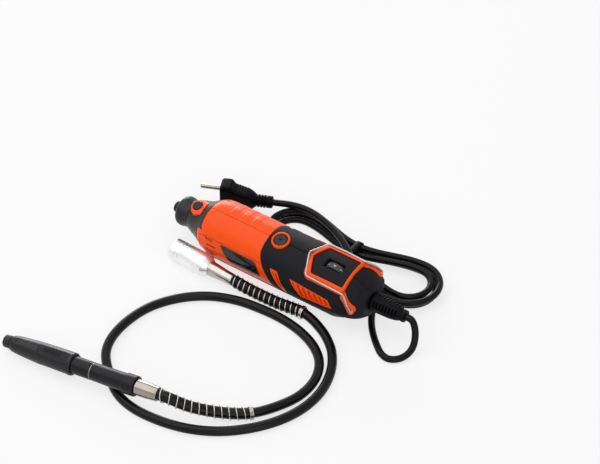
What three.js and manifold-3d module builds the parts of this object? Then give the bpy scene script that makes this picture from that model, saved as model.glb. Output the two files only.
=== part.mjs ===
// Rotary tool with a hanging bail, its power cord, and a flexible drive shaft with handpiece.
// Millimetres, +Z up. The tool's own frame has +X from nose to tail, +Z through the top seam;
// the tool lies rolled towards its near side (-Y) on a flat of its housing.
import * as THREE from 'three';
import { mergeVertices } from 'three/addons/utils/BufferGeometryUtils.js';
import Module from 'manifold-3d';

const wasm = await Module();
wasm.setup();

// ---------------------------------------------------------------- driving dimensions
const GAP = 0.3;                 // clearance between seated neighbours
const SPLIT = 0.15;              // half the parting gap of the clamshell
const SIDES = 20;                // facets round the housing

// housing
const BODY_R = 27.2;             // outer radius of the handle
const REST_DISTANCE = BODY_R - 0.6;      // axis to the resting flats
const REST_ANGLE = 15;           // degrees from the bottom seam to each flat, and the roll at rest
const HOUSING_START = 40;        // front edge of the orange clamshell
const TAIL_END = 217;            // rear face of the tail neck
const GRIP_END = 214;            // rear edge of the overmould
const WALL = 2.8;                // clamshell wall in front
const SKIN = 1.6;                // overmould thickness
const REAR_WALL = 2.4;           // clamshell wall under the overmould
const BOUNDARY_TOP = 104;        // where the overmould starts on the top seam
const BOUNDARY_SWEEP = 23.5;     // how far the boundary sweeps back round the flank
const NOSE_PROFILE = [[40, BODY_R - 5.8], [44.5, BODY_R - 3.2], [52, BODY_R - 0.6], [60, BODY_R]];
const TOP_PROFILE = [...NOSE_PROFILE, [186, BODY_R], [196, BODY_R - 0.3], [203, BODY_R - 2],
  [209, BODY_R - 5.6], [213, 17], [TAIL_END, 14]];
const SIDE_PROFILE = [...NOSE_PROFILE, [196, BODY_R], [203, BODY_R - 0.6], [209, BODY_R - 2],
  [213, BODY_R - 4.4], [TAIL_END, 14.6]];
const BOTTOM_PROFILE = [...NOSE_PROFILE, [186, BODY_R - 0.3], [196, BODY_R - 4.6], [203, 17.2], [209, 14.4],
  [TAIL_END, 13.8]];

// nose, spindle and collet
const SPINDLE_R = 4;
const COLLET_NUT_R = 5.25;
const COLLET_NUT_START = 0.2;
const COLLET_NUT_END = 10;
const SHANK_R = 1.6;             // bore of the collet, for 3.2 mm shanks
const CAP_REAR = 21.6;           // rear seam of the nose cap
const SNOUT_R = 10.6;            // threaded snout under the cap
const SNOUT_START = 13;
const LOCK_X = 29.4;               // axis of the spindle lock
const LOCK_PIN_R = 1.8;
const LOCK_CAP_R = 4.5;
const LOCK_TOP = 19.9;
const FRONT_BEARING_X = [36, 43];
const FRONT_BEARING_R = 9.5;
const REAR_BEARING_X = [131, 136];
const REAR_BEARING_R = 6.5;

// motor
const FIELD_X = [64, 102];
const ARMATURE_X = [67, 99];
const ARMATURE_R = BODY_R / 2;
const FIELD_BORE_R = ARMATURE_R + 0.8;
const POCKET_R = BODY_R - 6.6;    // depth of the coils' pockets
const ARMATURE_SLOTS = 12;
const COMMUTATOR_X = [113, 128];
const COMMUTATOR_R = 8.4;
const FAN_X = [50, 57];
const FAN_R = BODY_R - 6.7;
const FAN_BLADES = 9;
const BRUSH_X = 121.3;
const BRUSH_CAP_R = 6.1;
const BRUSH_RING_R = 8.5;
const BRUSH_HOLDER = [8.4, 7.4]; // along X and across
const CAP_SEAT = BODY_R - 5.6;    // floor of the brush ports, from the axis

// speed panel, its frame and the bail
const PANEL_APEX = 158.5;
const PANEL_FRONT = 166;
const PANEL_REAR = 197;
const PANEL_HALF = 15.6;
const FRAME_RIM = 4.4;           // width of the orange rim round the panel
const FRAME_RISE = 2.2;
const PANEL_RISE = 1.3;
const WINDOW_X = [171.4, 189.4];
const WINDOW_HALF = 3.7;
const DIAL_R = 11;
const DIAL_WIDTH = 6.2;
const DIAL_TOP = BODY_R + 1;
const DIAL_FLUTES = 12;
const BOARD_Z = -6;
const BOARD_X = [160, 190];
const WIRE_R = 1;
const BAIL_RISE = FRAME_RISE + 0.35;   // bail centreline above the housing
const PIVOT_X = PANEL_REAR + 14;
const PIVOT_Z = 9.5;

// power cord
const CORD_R = 3.1;
const GLAND_LENGTH = 33;
const GLAND_R = 8.4;
const GLAND_SLOTS = 4;
const FOLD_R = 18.6;             // fold radius of the innermost loop
const RUN_HALF = 62;             // half length of a run
const HANK_CENTRE = [156, 54];
const STRAND_PITCH = 8;
const LAYER_PITCH = 6.8;
const WAIST_DRAW = 14;
const TIE_WALL = 0.8;
const TIE_HALF = 3;
const START_SPREAD = 5;              // how far the first strand stands off the next
const HANK_START = 0.1;          // in loops, from the right-hand end of the near run
const HANK_TURNAROUND = 1.5;
const HANK_END = 3;
const LOOP_STEPS = 22;
const LOOP_SIDES = 6;

// flexible shaft
const HOSE_R = 4.2;
const SLEEVE_R = 10.5;
const SLEEVE_LENGTH = 42;
const SLEEVE_BORE_R = 8;
const SLEEVE_BORE_DEPTH = 20;
const NECK_R = 5.3;
const NECK_LENGTH = 23;
const GUARD_R = 5.7;             // centreline radius of both spring guards
const GUARD_WIRE_R = 0.5;
const GUARD_STEPS = 7;           // pieces in each turn of the spring guards
const BARREL_R = 7.75;
const GRIP_R = 10;
const TIP_R = 5.7;

// ---------------------------------------------------------------- finishes
const finish = (color, roughness, metalness = 0) =>
  new THREE.MeshStandardMaterial({ color, roughness, metalness });
const ORANGE = finish(0xff5a1c, 0.42);
const BLACK = finish(0x1d1d20, 0.55);
const SOFT_BLACK = finish(0x26262a, 0.8);
const RUBBER = finish(0x121214, 0.6);
const STEEL = finish(0xb9bcc0, 0.3, 1);
const NICKEL = finish(0xc9c2b6, 0.25, 1);
const ALUMINIUM = finish(0xe2e5e8, 0.3, 1);
const COPPER = finish(0xb8672f, 0.4, 1);
const BRASS = finish(0xc9a24a, 0.35, 1);
const CARBON = finish(0x303034, 0.7);
const BOARD_GREEN = finish(0x1f6b3a, 0.5);
const DIAL_GREY = finish(0x8d9096, 0.5);

// ---------------------------------------------------------------- solids
const degrees = THREE.MathUtils.degToRad;
const vec = (x, y, z) => new THREE.Vector3(x, y, z);

/** Turn a closed geometry into a solid, with its faces pointing out. */
function toSolid(geometry) {
  const bare = geometry.clone();
  bare.deleteAttribute('normal');
  bare.deleteAttribute('uv');
  const merged = mergeVertices(bare, 1e-4);
  const points = merged.attributes.position.array;
  const triangles = [];
  const all = merged.index.array;
  for (let i = 0; i < all.length; i += 3) {
    const [a, b, c] = [all[i], all[i + 1], all[i + 2]];
    if (a !== b && b !== c && c !== a) triangles.push(a, b, c);
  }
  if (signedVolume(points, triangles) < 0) {
    for (let i = 0; i < triangles.length; i += 3) {
      [triangles[i], triangles[i + 1]] = [triangles[i + 1], triangles[i]];
    }
  }
  return new wasm.Manifold(new wasm.Mesh({
    numProp: 3,
    vertProperties: new Float32Array(points),
    triVerts: new Uint32Array(triangles),
  }));
}

function signedVolume(points, triangles) {
  const corner = (i) => vec(points[3 * i], points[3 * i + 1], points[3 * i + 2]);
  let sum = 0;
  for (let i = 0; i < triangles.length; i += 3) {
    sum += corner(triangles[i]).dot(corner(triangles[i + 1]).cross(corner(triangles[i + 2])));
  }
  return sum;
}

/** Give a solid back as an indexed geometry. */
function toGeometry(solid) {
  const mesh = solid.getMesh();
  const geometry = new THREE.BufferGeometry();
  geometry.setAttribute('position', new THREE.BufferAttribute(new Float32Array(mesh.vertProperties), 3));
  geometry.setIndex(new THREE.BufferAttribute(new Uint32Array(mesh.triVerts), 1));
  geometry.computeVertexNormals();
  return geometry;
}

const join = (...solids) => solids.reduce((sum, next) => sum.add(next));
const cut = (body, ...tools) => tools.reduce((sum, next) => sum.subtract(next), body);
const common = (a, b) => a.intersect(b);

/** Closed solid from points and quads or triangles; each quad is split along its shorter diagonal. */
function solidFromFaces(points, faces) {
  const geometry = new THREE.BufferGeometry();
  geometry.setAttribute('position', new THREE.Float32BufferAttribute(points.flatMap((p) => p.toArray()), 3));
  const span = (f, a, b) => points[f[a]].distanceTo(points[f[b]]);
  const split = (f) => (span(f, 0, 2) <= span(f, 1, 3)
    ? [f[0], f[1], f[2], f[0], f[2], f[3]] : [f[0], f[1], f[3], f[1], f[2], f[3]]);
  const index = faces.flatMap((f) => (f.length === 3 ? f : split(f)));
  geometry.setIndex(index);
  return toSolid(geometry);
}

/** Rings of equal counts joined in order; capped at both ends, or closed on itself. */
function loft(rings, closed = false) {
  const count = rings[0].length;
  const points = rings.flat();
  const faces = [];
  const last = closed ? rings.length : rings.length - 1;
  for (let i = 0; i < last; i += 1) {
    const next = (i + 1) % rings.length;
    for (let j = 0; j < count; j += 1) {
      const k = (j + 1) % count;
      faces.push([i * count + j, i * count + k, next * count + k, next * count + j]);
    }
  }
  if (!closed) {
    for (const [ring, flip] of [[0, true], [rings.length - 1, false]]) {
      const centre = rings[ring].reduce((sum, p) => sum.add(p), vec(0, 0, 0)).divideScalar(count);
      points.push(centre);
      const hub = points.length - 1;
      for (let j = 0; j < count; j += 1) {
        const a = ring * count + j;
        const b = ring * count + ((j + 1) % count);
        faces.push(flip ? [hub, b, a] : [hub, a, b]);
      }
    }
  }
  return solidFromFaces(points, faces);
}

/** Revolve [x, radius] points round the X axis. */
function revolve(profile, sides = 24) {
  const geometry = new THREE.LatheGeometry(profile.map(([x, r]) => new THREE.Vector2(r, x)), sides);
  geometry.rotateZ(-Math.PI / 2);
  return toSolid(geometry);
}

/** A tube of revolution from outer and inner [x, radius] profiles, both given front to back. */
function revolveTube(outer, inner, sides = 24) {
  return revolve([...outer, ...[...inner].reverse(), outer[0]], sides);
}

/** A rod along X. */
const rod = (x0, x1, r, sides = 24) => revolve([[x0, 0], [x0, r], [x1, r], [x1, 0]], sides);

/** A rod along Z through (x, y). */
function post(x, y, z0, z1, r, sides = 16) {
  const geometry = new THREE.CylinderGeometry(r, r, z1 - z0, sides);
  geometry.rotateX(Math.PI / 2);
  geometry.translate(x, y, (z0 + z1) / 2);
  return toSolid(geometry);
}

/** A rod along Y through (x, z). */
function pin(x, z, y0, y1, r, sides = 8) {
  const geometry = new THREE.CylinderGeometry(r, r, y1 - y0, sides);
  geometry.translate(x, (y0 + y1) / 2, z);
  return toSolid(geometry);
}

function box([x0, x1], [y0, y1], [z0, z1]) {
  const geometry = new THREE.BoxGeometry(x1 - x0, y1 - y0, z1 - z0);
  geometry.translate((x0 + x1) / 2, (y0 + y1) / 2, (z0 + z1) / 2);
  return toSolid(geometry);
}

function shapeOf(outline) {
  return new THREE.Shape(outline.map(([a, b]) => new THREE.Vector2(a, b)));
}

/** Outline in X and Y carried from z0 to z1. */
function prismZ(outline, z0, z1) {
  const geometry = new THREE.ExtrudeGeometry(shapeOf(outline), { depth: z1 - z0, bevelEnabled: false });
  geometry.translate(0, 0, z0);
  return toSolid(geometry);
}

/** Outline in X and Z carried from y0 to y1. */
function prismY(outline, y0, y1) {
  const geometry = new THREE.ExtrudeGeometry(shapeOf(outline), { depth: y1 - y0, bevelEnabled: false });
  geometry.rotateX(Math.PI / 2);
  geometry.translate(0, y1, 0);
  return toSolid(geometry);
}

/** Outline in Y and Z, counted as (y, z), carried from x0 to x1. */
function prismX(shape, x0, x1, curveSegments = 12) {
  const geometry = new THREE.ExtrudeGeometry(shape, { depth: x1 - x0, bevelEnabled: false, curveSegments });
  geometry.applyMatrix4(new THREE.Matrix4().makeBasis(vec(0, 1, 0), vec(0, 0, 1), vec(1, 0, 0)));
  geometry.translate(x0, 0, 0);
  return toSolid(geometry);
}

/** Part of a tube along X between two angles, measured from +Z towards -Y. */
function sector(r0, r1, a0, a1, x0, x1) {
  const shape = new THREE.Shape();
  const start = degrees(90 + a0);
  const end = degrees(90 + a1);
  shape.absarc(0, 0, r1, start, end, false);
  shape.absarc(0, 0, r0, end, start, true);
  return prismX(shape, x0, x1, 5);
}

const smooth = (points) => new THREE.CatmullRomCurve3(points, false, 'centripetal');

/** Round tube through every given point, its section carried without twist. */
function tube(points, radius, sides) {
  const rings = [];
  let normal = null;
  points.forEach((point, i) => {
    const before = points[Math.max(i - 1, 0)];
    const after = points[Math.min(i + 1, points.length - 1)];
    const tangent = after.clone().sub(before).normalize();
    if (normal === null) {
      normal = Math.abs(tangent.z) < 0.9 ? vec(0, 0, 1) : vec(1, 0, 0);
    }
    normal = normal.clone().addScaledVector(tangent, -normal.dot(tangent)).normalize();
    const binormal = tangent.clone().cross(normal);
    rings.push(Array.from({ length: sides }, (_, j) => {
      const a = (2 * Math.PI * j) / sides;
      return point.clone().addScaledVector(normal, radius * Math.cos(a))
        .addScaledVector(binormal, radius * Math.sin(a));
    }));
  });
  return loft(rings);
}

// ---------------------------------------------------------------- housing surface
/** Linear reading of an [x, value] profile. */
function read(profile, x) {
  if (x <= profile[0][0]) return profile[0][1];
  for (let i = 1; i < profile.length; i += 1) {
    const [x0, v0] = profile[i - 1];
    const [x1, v1] = profile[i];
    if (x <= x1) return v0 + ((v1 - v0) * (x - x0)) / (x1 - x0);
  }
  return profile[profile.length - 1][1];
}

/** Housing radius at x and at an angle from the top seam towards the near side. */
function bodyRadius(x, angle) {
  const c = Math.cos(angle);
  const side = read(SIDE_PROFILE, x);
  if (c >= 0) return side + (read(TOP_PROFILE, x) - side) * c ** 1.5;
  return side + (read(BOTTOM_PROFILE, x) - side) * (-c) ** 0.8;
}

/** Where the overmould starts at an angle from the top seam. */
const boundary = (angle) => BOUNDARY_TOP + BOUNDARY_SWEEP * (1 - Math.cos(angle)) ** 1.3;

/** Point of the housing surface, pushed out by an offset. */
function onBody(x, angle, offset = 0) {
  const r = bodyRadius(x, angle) + offset;
  return vec(x, -r * Math.sin(angle), r * Math.cos(angle));
}

/** A wall that follows the housing: each row gives x and radius offset for an angle. */
function bodyWall(rows, closed = true) {
  const rings = rows.map((row) => Array.from({ length: SIDES }, (_, j) => {
    const angle = (2 * Math.PI * j) / SIDES;
    const [x, offset] = row(angle);
    return onBody(x, angle, offset);
  }));
  return loft(rings, closed);
}

const stations = (from, to) => [
  ...new Set([...TOP_PROFILE, ...SIDE_PROFILE, ...BOTTOM_PROFILE].map(([x]) => x)),
].filter((x) => x > from && x < to).sort((a, b) => a - b);

/** Solid or hollow wall between two stations with constant offsets. */
function bodyBand(x0, x1, outer, inner) {
  const xs = [x0, ...stations(x0, x1), x1];
  const out = xs.map((x) => () => [x, outer]);
  const back = [...xs].reverse().map((x) => () => [x, inner]);
  return bodyWall([...out, ...back]);
}

/** Everything under the two resting flats, grown outwards by a clearance. */
function belowFlats(clearance = 0) {
  const tools = [-1, 1].map((side) => {
    const block = new THREE.BoxGeometry(400, 60, 20);
    block.translate(120, 0, -REST_DISTANCE - clearance - 10);
    block.rotateX(side * degrees(REST_ANGLE));
    return toSolid(block);
  });
  return join(...tools);
}

const halfSpace = (side) => box([-20, 300], side < 0 ? [-60, -SPLIT] : [SPLIT, 60], [-60, 60]);

// ---------------------------------------------------------------- speed panel outlines
/** House-shaped outline of the speed panel grown by a margin, in X and Y. */
function panelOutline(margin) {
  const half = PANEL_HALF + margin;
  const front = PANEL_FRONT - margin * 0.45;
  const apex = PANEL_APEX - margin * 1.12;
  return [[apex, 0], [front, half], [PANEL_REAR + margin, half], [PANEL_REAR + margin, -half], [front, -half]];
}

/** Side view of the strap that carries the bail's pivot, in X and Z. */
const EAR_OUTLINE = [[197.6, 24], [203, 23.5], [208, 18], [213.5, 12], [214.3, 8.5], [212.5, 5.2], [209, 5.2],
  [206.5, 9], [203.5, 14.5], [197.6, 18]];

/** Centreline of the hanging bail on one side, from the apex to the hooked end. */
function bailHalf(side) {
  const at = (x, deg) => onBody(x, side * degrees(deg), BAIL_RISE);
  const pivot = earFace() + WIRE_R + GAP;
  const beside = (x, margin) => {
    const r = bodyRadius(x, degrees(38)) + BAIL_RISE;
    return vec(x, -side * (PANEL_HALF + margin), Math.sqrt(r * r - (PANEL_HALF + margin) ** 2));
  };
  return [at(PANEL_APEX - 4.9, 0), beside(PANEL_FRONT - 5, 2.5), beside(180, 2.9), beside(PANEL_REAR + 3, 2.3),
    at(PIVOT_X - 4.5, 56),
    vec(PIVOT_X, -side * pivot, PIVOT_Z), vec(PIVOT_X, -side * (pivot - 2.6), PIVOT_Z)];
}

/** Outer face of the ears at the pivot, measured from the middle plane. */
function earFace() {
  const angle = Math.atan2(1, PIVOT_Z / bodyRadius(PIVOT_X, degrees(65)));
  const r = bodyRadius(PIVOT_X, angle) + FRAME_RISE;
  return Math.sqrt(r * r - PIVOT_Z * PIVOT_Z);
}

/** Polyline with its corners rounded by a radius. */
function rounded(points, radius, steps = 4) {
  const out = [points[0]];
  for (let i = 1; i < points.length - 1; i += 1) {
    const p = points[i];
    const a = points[i - 1].clone().sub(p);
    const b = points[i + 1].clone().sub(p);
    const reach = Math.min(radius, a.length() * 0.45, b.length() * 0.45);
    const start = p.clone().addScaledVector(a.normalize(), reach);
    const end = p.clone().addScaledVector(b.normalize(), reach);
    for (let k = 0; k <= steps; k += 1) {
      const t = k / steps;
      out.push(start.clone().multiplyScalar((1 - t) ** 2).addScaledVector(p, 2 * t * (1 - t))
        .addScaledVector(end, t * t));
    }
  }
  out.push(points[points.length - 1]);
  return out;
}

function bailPath() {
  const near = bailHalf(1);
  const far = bailHalf(-1).slice(1).reverse();
  return rounded([...far, ...near], 2.6, 1);
}

// ---------------------------------------------------------------- clamshell, overmould, vents
/** Flank windows in the overmould where the clamshell comes through, in X and Z. */
const VENT_OUTLINES = [
  [[125, 15.2], [133.2, 16], [144, 2], [148, -6], [139, -6], [134, 0]],
  [[146, 14], [187, 12.6], [192.5, 5.6], [160, 3]],
];
const NAMEPLATE_OUTLINE = [[71, 14.4], [101, 12.6], [104, 10.6], [112.5, 0.6], [80, -1.4]];
const DIAL_CENTRE = [(WINDOW_X[0] + WINDOW_X[1]) / 2, DIAL_TOP - DIAL_R];

/** Outline with every edge moved outwards by a margin. */
function growOutline(outline, margin) {
  const turn = Math.sign(THREE.ShapeUtils.area(outline.map(([x, y]) => ({ x, y }))));
  const normal = ([x0, y0], [x1, y1]) => {
    const length = Math.hypot(x1 - x0, y1 - y0) * turn;
    return [(y1 - y0) / length, (x0 - x1) / length];
  };
  return outline.map((p, i) => {
    const n = normal(outline[(i + outline.length - 1) % outline.length], p);
    const m = normal(p, outline[(i + 1) % outline.length]);
    const reach = margin / (1 + n[0] * m[0] + n[1] * m[1]);
    return [p[0] + (n[0] + m[0]) * reach, p[1] + (n[1] + m[1]) * reach];
  });
}

function ventPrisms(margin) {
  return join(...VENT_OUTLINES.map((outline) => prismY(growOutline(outline, margin), -32, 32)));
}

/** Slanted grooves across the vents, in X and Z. */
function ventRibs() {
  const bars = [];
  for (let x = 151; x < 188; x += 12) bars.push(prismY([[x, 15], [x + 2, 15], [x + 9, 2], [x + 7, 2]], -32, 32));
  for (let x = 128; x < 141; x += 7) bars.push(prismY([[x, 11], [x + 4, 11], [x + 7, 6], [x + 3, 6]], -32, 32));
  return join(...bars);
}

/** Both halves of the clamshell before they are parted. */
function clamshell() {
  const rear = stations(150, TAIL_END);
  const under = -SKIN;
  const outer = [
    () => [HOUSING_START, 0], ...stations(HOUSING_START, 100).map((x) => () => [x, 0]),
    (a) => [boundary(a) - GAP / 2, 0], (a) => [boundary(a) - GAP / 2 + 0.01, under - GAP],
    ...rear.filter((x) => x < GRIP_END).map((x) => () => [x, under - GAP]),
    () => [GRIP_END + GAP, under - GAP], () => [GRIP_END + GAP, 0], () => [TAIL_END, 0],
  ];
  const thickness = SKIN + GAP + REAR_WALL;
  const inner = [
    () => [TAIL_END, -6], () => [209, -6], ...rear.filter((x) => x > 190 && x < 209).reverse()
      .map((x) => () => [x, -thickness]),
    () => [106, -thickness], () => [103, -WALL], () => [60, -WALL], () => [HOUSING_START, -WALL],
  ];
  const shell = bodyWall([...outer, ...inner]);
  const islands = common(bodyBand(118, 196, 0, -SKIN - GAP - 0.5), ventPrisms(0));
  const grooves = common(bodyBand(118, 196, 1, -0.9), ventRibs());
  return cut(join(shell, cut(islands, grooves), bearingWall(), brushTunnels()), belowFlats(), ...shellCuts());
}

/** Cross wall that carries the rear bearing. */
function bearingWall() {
  const seat = REAR_BEARING_R + GAP;
  const [x0, x1] = REAR_BEARING_X;
  const rim = BODY_R - 3.4;
  return revolveTube([[x0 - 0.5, rim], [x1 - 1, rim]], [[x0 - 0.5, seat], [x1 - 1, seat]], 16);
}

/** Square sockets that hold the brush holders, under both brush ports. */
function brushTunnels() {
  const [length, width] = BRUSH_HOLDER.map((v) => v / 2 + GAP + 2);
  const one = box([BRUSH_X - length, BRUSH_X + length], [-width, width], [COMMUTATOR_R + 4.6, CAP_SEAT + 2.4]);
  return join(one, one.mirror([0, 0, 1]));
}

/** What is taken out of the clamshell: ports, windows, vents, screw wells and seats. */
function shellCuts() {
  const [length, width] = BRUSH_HOLDER.map((v) => v / 2 + GAP);
  const holder = box([BRUSH_X - length, BRUSH_X + length], [-width, width], [COMMUTATOR_R + 0.6, CAP_SEAT]);
  const port = post(BRUSH_X, 0, CAP_SEAT, 40, BRUSH_CAP_R + GAP);
  const window = box([WINDOW_X[0] - 1.2, WINDOW_X[1] + 1.2], [-WINDOW_HALF, WINDOW_HALF], [10, 40]);
  const plate = common(bodyBand(66, 116, 2, -0.9), prismY(growOutline(NAMEPLATE_OUTLINE, GAP), -40, 0));
  const glandSeat = rod(208, 240, 6.6);
  const ringSeat = cut(post(BRUSH_X, 0, -40, -10, BRUSH_RING_R + GAP),
    bodyWall([() => [100, -SKIN - GAP], () => [140, -SKIN - GAP]], false));
  const wells = SCREW_PLACES.map(([x, z]) => pin(x, z, 14, 40, SCREW_HEAD_R + GAP));
  return [holder, holder.mirror([0, 0, 1]), port, port.mirror([0, 0, 1]), ringSeat, window, plate, glandSeat,
    ...frontVents(), ...wells];
}

/** Slots that let the fan's air out of both flanks near the nose. */
function frontVents() {
  const slots = [];
  for (const z of [11, 5.5, 0, -5.5]) {
    slots.push(box([46.5 + Math.abs(z) * 0.1, 58 - z * 0.2], [-40, 40], [z, z + 2]));
  }
  return slots;
}

const SCREW_PLACES = [[118, 15], [113.5, -16], [152, -15], [181, -13.5]];
const SCREW_HEAD_R = 2.9;

/** Bosses that the far half's screws seat on. */
function screwBosses() {
  return join(...SCREW_PLACES.map(([x, z]) => common(pin(x, z, 10, BODY_R - 3.2, SCREW_HEAD_R + 2.4),
    bodyBand(60, 206, -SKIN - 2 * GAP, -10))));
}

function housingHalf(side) {
  return common(clamshell(), halfSpace(side));
}

/** One half of the soft overmould, with windows for vents, ports and the dial. */
function gripHalf(side) {
  const rear = stations(150, GRIP_END);
  const rows = (offset) => [(a) => [boundary(a) + GAP / 2, offset], ...rear.map((x) => () => [x, offset]),
    () => [GRIP_END, offset]];
  const skin = bodyWall([...rows(0), ...rows(GAP / 3 - SKIN).reverse()]);
  const window = box([WINDOW_X[0] - GAP, WINDOW_X[1] + GAP], [-WINDOW_HALF, WINDOW_HALF], [10, 40]);
  const port = post(BRUSH_X, 0, 10, 40, BRUSH_RING_R + GAP);
  const wells = SCREW_PLACES.map(([x, z]) => pin(x, z, 14, 40, SCREW_HEAD_R + GAP));
  const body = cut(skin, belowFlats(), window, port, port.mirror([0, 0, 1]), ventPrisms(GAP), ...wells);
  return common(body, halfSpace(side));
}

// ---------------------------------------------------------------- nose
const NOSE_OUTER = [[22.1, 13.4], [28, 15.9], [34, 18.2], [HOUSING_START - GAP, BODY_R - 6.2]];

function noseCap() {
  const outer = [[6.8, 8], [7.3, 10.2], [8.6, 12.5], [10.4, 13.8], [13, 14.1], [16.4, 13.4], [19, 12.8],
    [CAP_REAR, 13.2]];
  const inner = [[6.8, 6], [10.5, 6], [11.5, SNOUT_R + GAP], [CAP_REAR, SNOUT_R + GAP]];
  return revolveTube(outer, inner, 20);
}

function frontHousing() {
  const spigot = BODY_R - 9.2;
  const outer = [[SNOUT_START, SNOUT_R], [21.9, SNOUT_R], ...NOSE_OUTER,
    [HOUSING_START - GAP, spigot], [46, spigot]];
  const bore = SPINDLE_R + 0.6;
  const seat = FRONT_BEARING_R + GAP;
  const inner = [[SNOUT_START, bore], [FRONT_BEARING_X[0] - GAP, bore], [FRONT_BEARING_X[0] - GAP, seat],
    [46, seat]];
  const buttonWell = post(LOCK_X, 0, 13, 30, LOCK_CAP_R + GAP);
  const pinBore = post(LOCK_X, 0, 3, 30, LOCK_PIN_R + GAP, 12);
  return cut(revolveTube(outer, inner, 16), buttonWell, pinBore);
}

/** Six-sided rim round the spindle lock, crowned like the nose it sits on. */
function lockBezel() {
  const half = [[23.7, 2.6], [26, 6.6], [30, 8.5], [37.8, 7]];
  const outline = [...half, ...half.map(([x, y]) => [x, -y]).reverse()];
  const crown = revolve([[0, 0], [0, 18.4], [22, 18.4], [33, 19.5], [38, 20.9], [60, 20.9], [60, 0]], 40);
  const nose = revolve([[22.1 - 5, 0], ...NOSE_OUTER.map(([x, r]) => [x, r + GAP]), [50, 22], [50, 0]], 40);
  const frontStop = revolve([[17, 0], [17, 13.9], [22.2, 13.9], [22.2, 0]], 40);
  return cut(common(prismZ(outline, 11, 24), crown), nose, frontStop, post(LOCK_X, 0, 5, 30, LOCK_CAP_R + GAP));
}

function lockButton() {
  const profile = [[5.3, 0], [5.3, LOCK_PIN_R], [16.3, LOCK_PIN_R], [16.3, LOCK_CAP_R],
    [LOCK_TOP - 0.6, LOCK_CAP_R], [LOCK_TOP, LOCK_CAP_R - 0.7], [LOCK_TOP, 0]];
  const geometry = new THREE.LatheGeometry(profile.map(([z, r]) => new THREE.Vector2(r, z)), 18);
  geometry.rotateX(Math.PI / 2);
  geometry.translate(LOCK_X, 0, 0);
  return toSolid(geometry);
}

// ---------------------------------------------------------------- spindle and motor
function spindle() {
  const profile = [[5, 0], [5, 3.4], [12, 3.4], [12, SPINDLE_R], [REAR_BEARING_X[0] - 1, SPINDLE_R],
    [REAR_BEARING_X[0] - 1, 2.5], [REAR_BEARING_X[1], 2.5], [REAR_BEARING_X[1], 0]];
  const throat = revolve([[4, 0], [4, 2.5], [14, 2.5], [15, 0]], 12);
  return cut(revolve(profile, 16), throat, post(LOCK_X, 0, -9, 9, LOCK_PIN_R + GAP, 12));
}

function collet() {
  const outer = [[COLLET_NUT_START + 0.8, 2.4], [COLLET_NUT_START + 2.6, 3.1], [3.4, 3.1], [4.7, 2.2], [13.2, 2.2]];
  const inner = [[COLLET_NUT_START + 0.8, SHANK_R], [13.2, SHANK_R]];
  const slots = [0, 90].map((angle) => {
    const slot = new THREE.BoxGeometry(10, 12, 0.5);
    slot.translate(2, 0, 0);
    slot.rotateX(degrees(angle));
    return toSolid(slot);
  });
  return cut(revolveTube(outer, inner, 12), ...slots);
}

function colletNut() {
  const outer = [[COLLET_NUT_START, 3.6], [COLLET_NUT_START + 1, COLLET_NUT_R], [COLLET_NUT_END, COLLET_NUT_R]];
  const inner = [[COLLET_NUT_START, 2.2], [COLLET_NUT_START + 0.9, 2.75], [COLLET_NUT_START + 2.6, 3.45],
    [4.7, 3.45], [4.7, 3.7], [COLLET_NUT_END, 3.7]];
  return revolveTube(outer, inner, 14);
}

function bearing([x0, x1], r, bore) {
  const [inner, outer] = [bore + (r - bore) * 0.35, bore + (r - bore) * 0.65];
  return revolveTube([[x0, outer], [x0, r], [x1, r]],
    [[x0 + 0.6, outer], [x0 + 0.6, inner], [x0, inner], [x0, bore + GAP], [x1, bore + GAP]], 12);
}

/** Slotted lamination stack. */
function armatureCore() {
  const shape = new THREE.Shape();
  const pitch = (2 * Math.PI) / ARMATURE_SLOTS;
  for (let i = 0; i < ARMATURE_SLOTS; i += 1) {
    const a = i * pitch;
    const rim = (t) => [ARMATURE_R * Math.cos(a + t * pitch), ARMATURE_R * Math.sin(a + t * pitch)];
    const neck = (depth, t) => [(ARMATURE_R - depth) * Math.cos(a + t * pitch),
      (ARMATURE_R - depth) * Math.sin(a + t * pitch)];
    const points = [rim(0.04), rim(0.56), neck(1.2, 0.56), neck(2, 0.42), neck(6, 0.42),
      neck(6, 1.18), neck(2, 1.18), neck(1.2, 1.04)];
    points.forEach(([y, z], k) => (i === 0 && k === 0 ? shape.moveTo(y, z) : shape.lineTo(y, z)));
  }
  shape.closePath();
  return cut(prismX(shape, ...ARMATURE_X), rod(0, 200, SPINDLE_R + GAP, 16));
}

/** Copper winding: one bar in each slot and an overhang at both ends. */
function armatureWinding() {
  const pitch = 360 / ARMATURE_SLOTS;
  const [x0, x1] = ARMATURE_X;
  const bars = Array.from({ length: ARMATURE_SLOTS }, (_, i) => {
    const bar = new THREE.BoxGeometry(x1 - x0 + 3, 2.2, 3.2);
    bar.translate((x0 + x1) / 2, 0, ARMATURE_R - 3.7);
    bar.rotateX(degrees(90 + (i + 0.8) * pitch));
    return toSolid(bar);
  });
  const overhang = (from, to, sign) => revolveTube(
    [[from, ARMATURE_R - 2], [from + sign * 2.5, ARMATURE_R - 1.4], [to, ARMATURE_R - 4.6]],
    [[from, SPINDLE_R + GAP], [to, SPINDLE_R + GAP]], 12);
  return join(overhang(x0 - GAP, x0 - 6, -1), overhang(x1 + GAP, x1 + 6, 1), ...bars);
}

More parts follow.
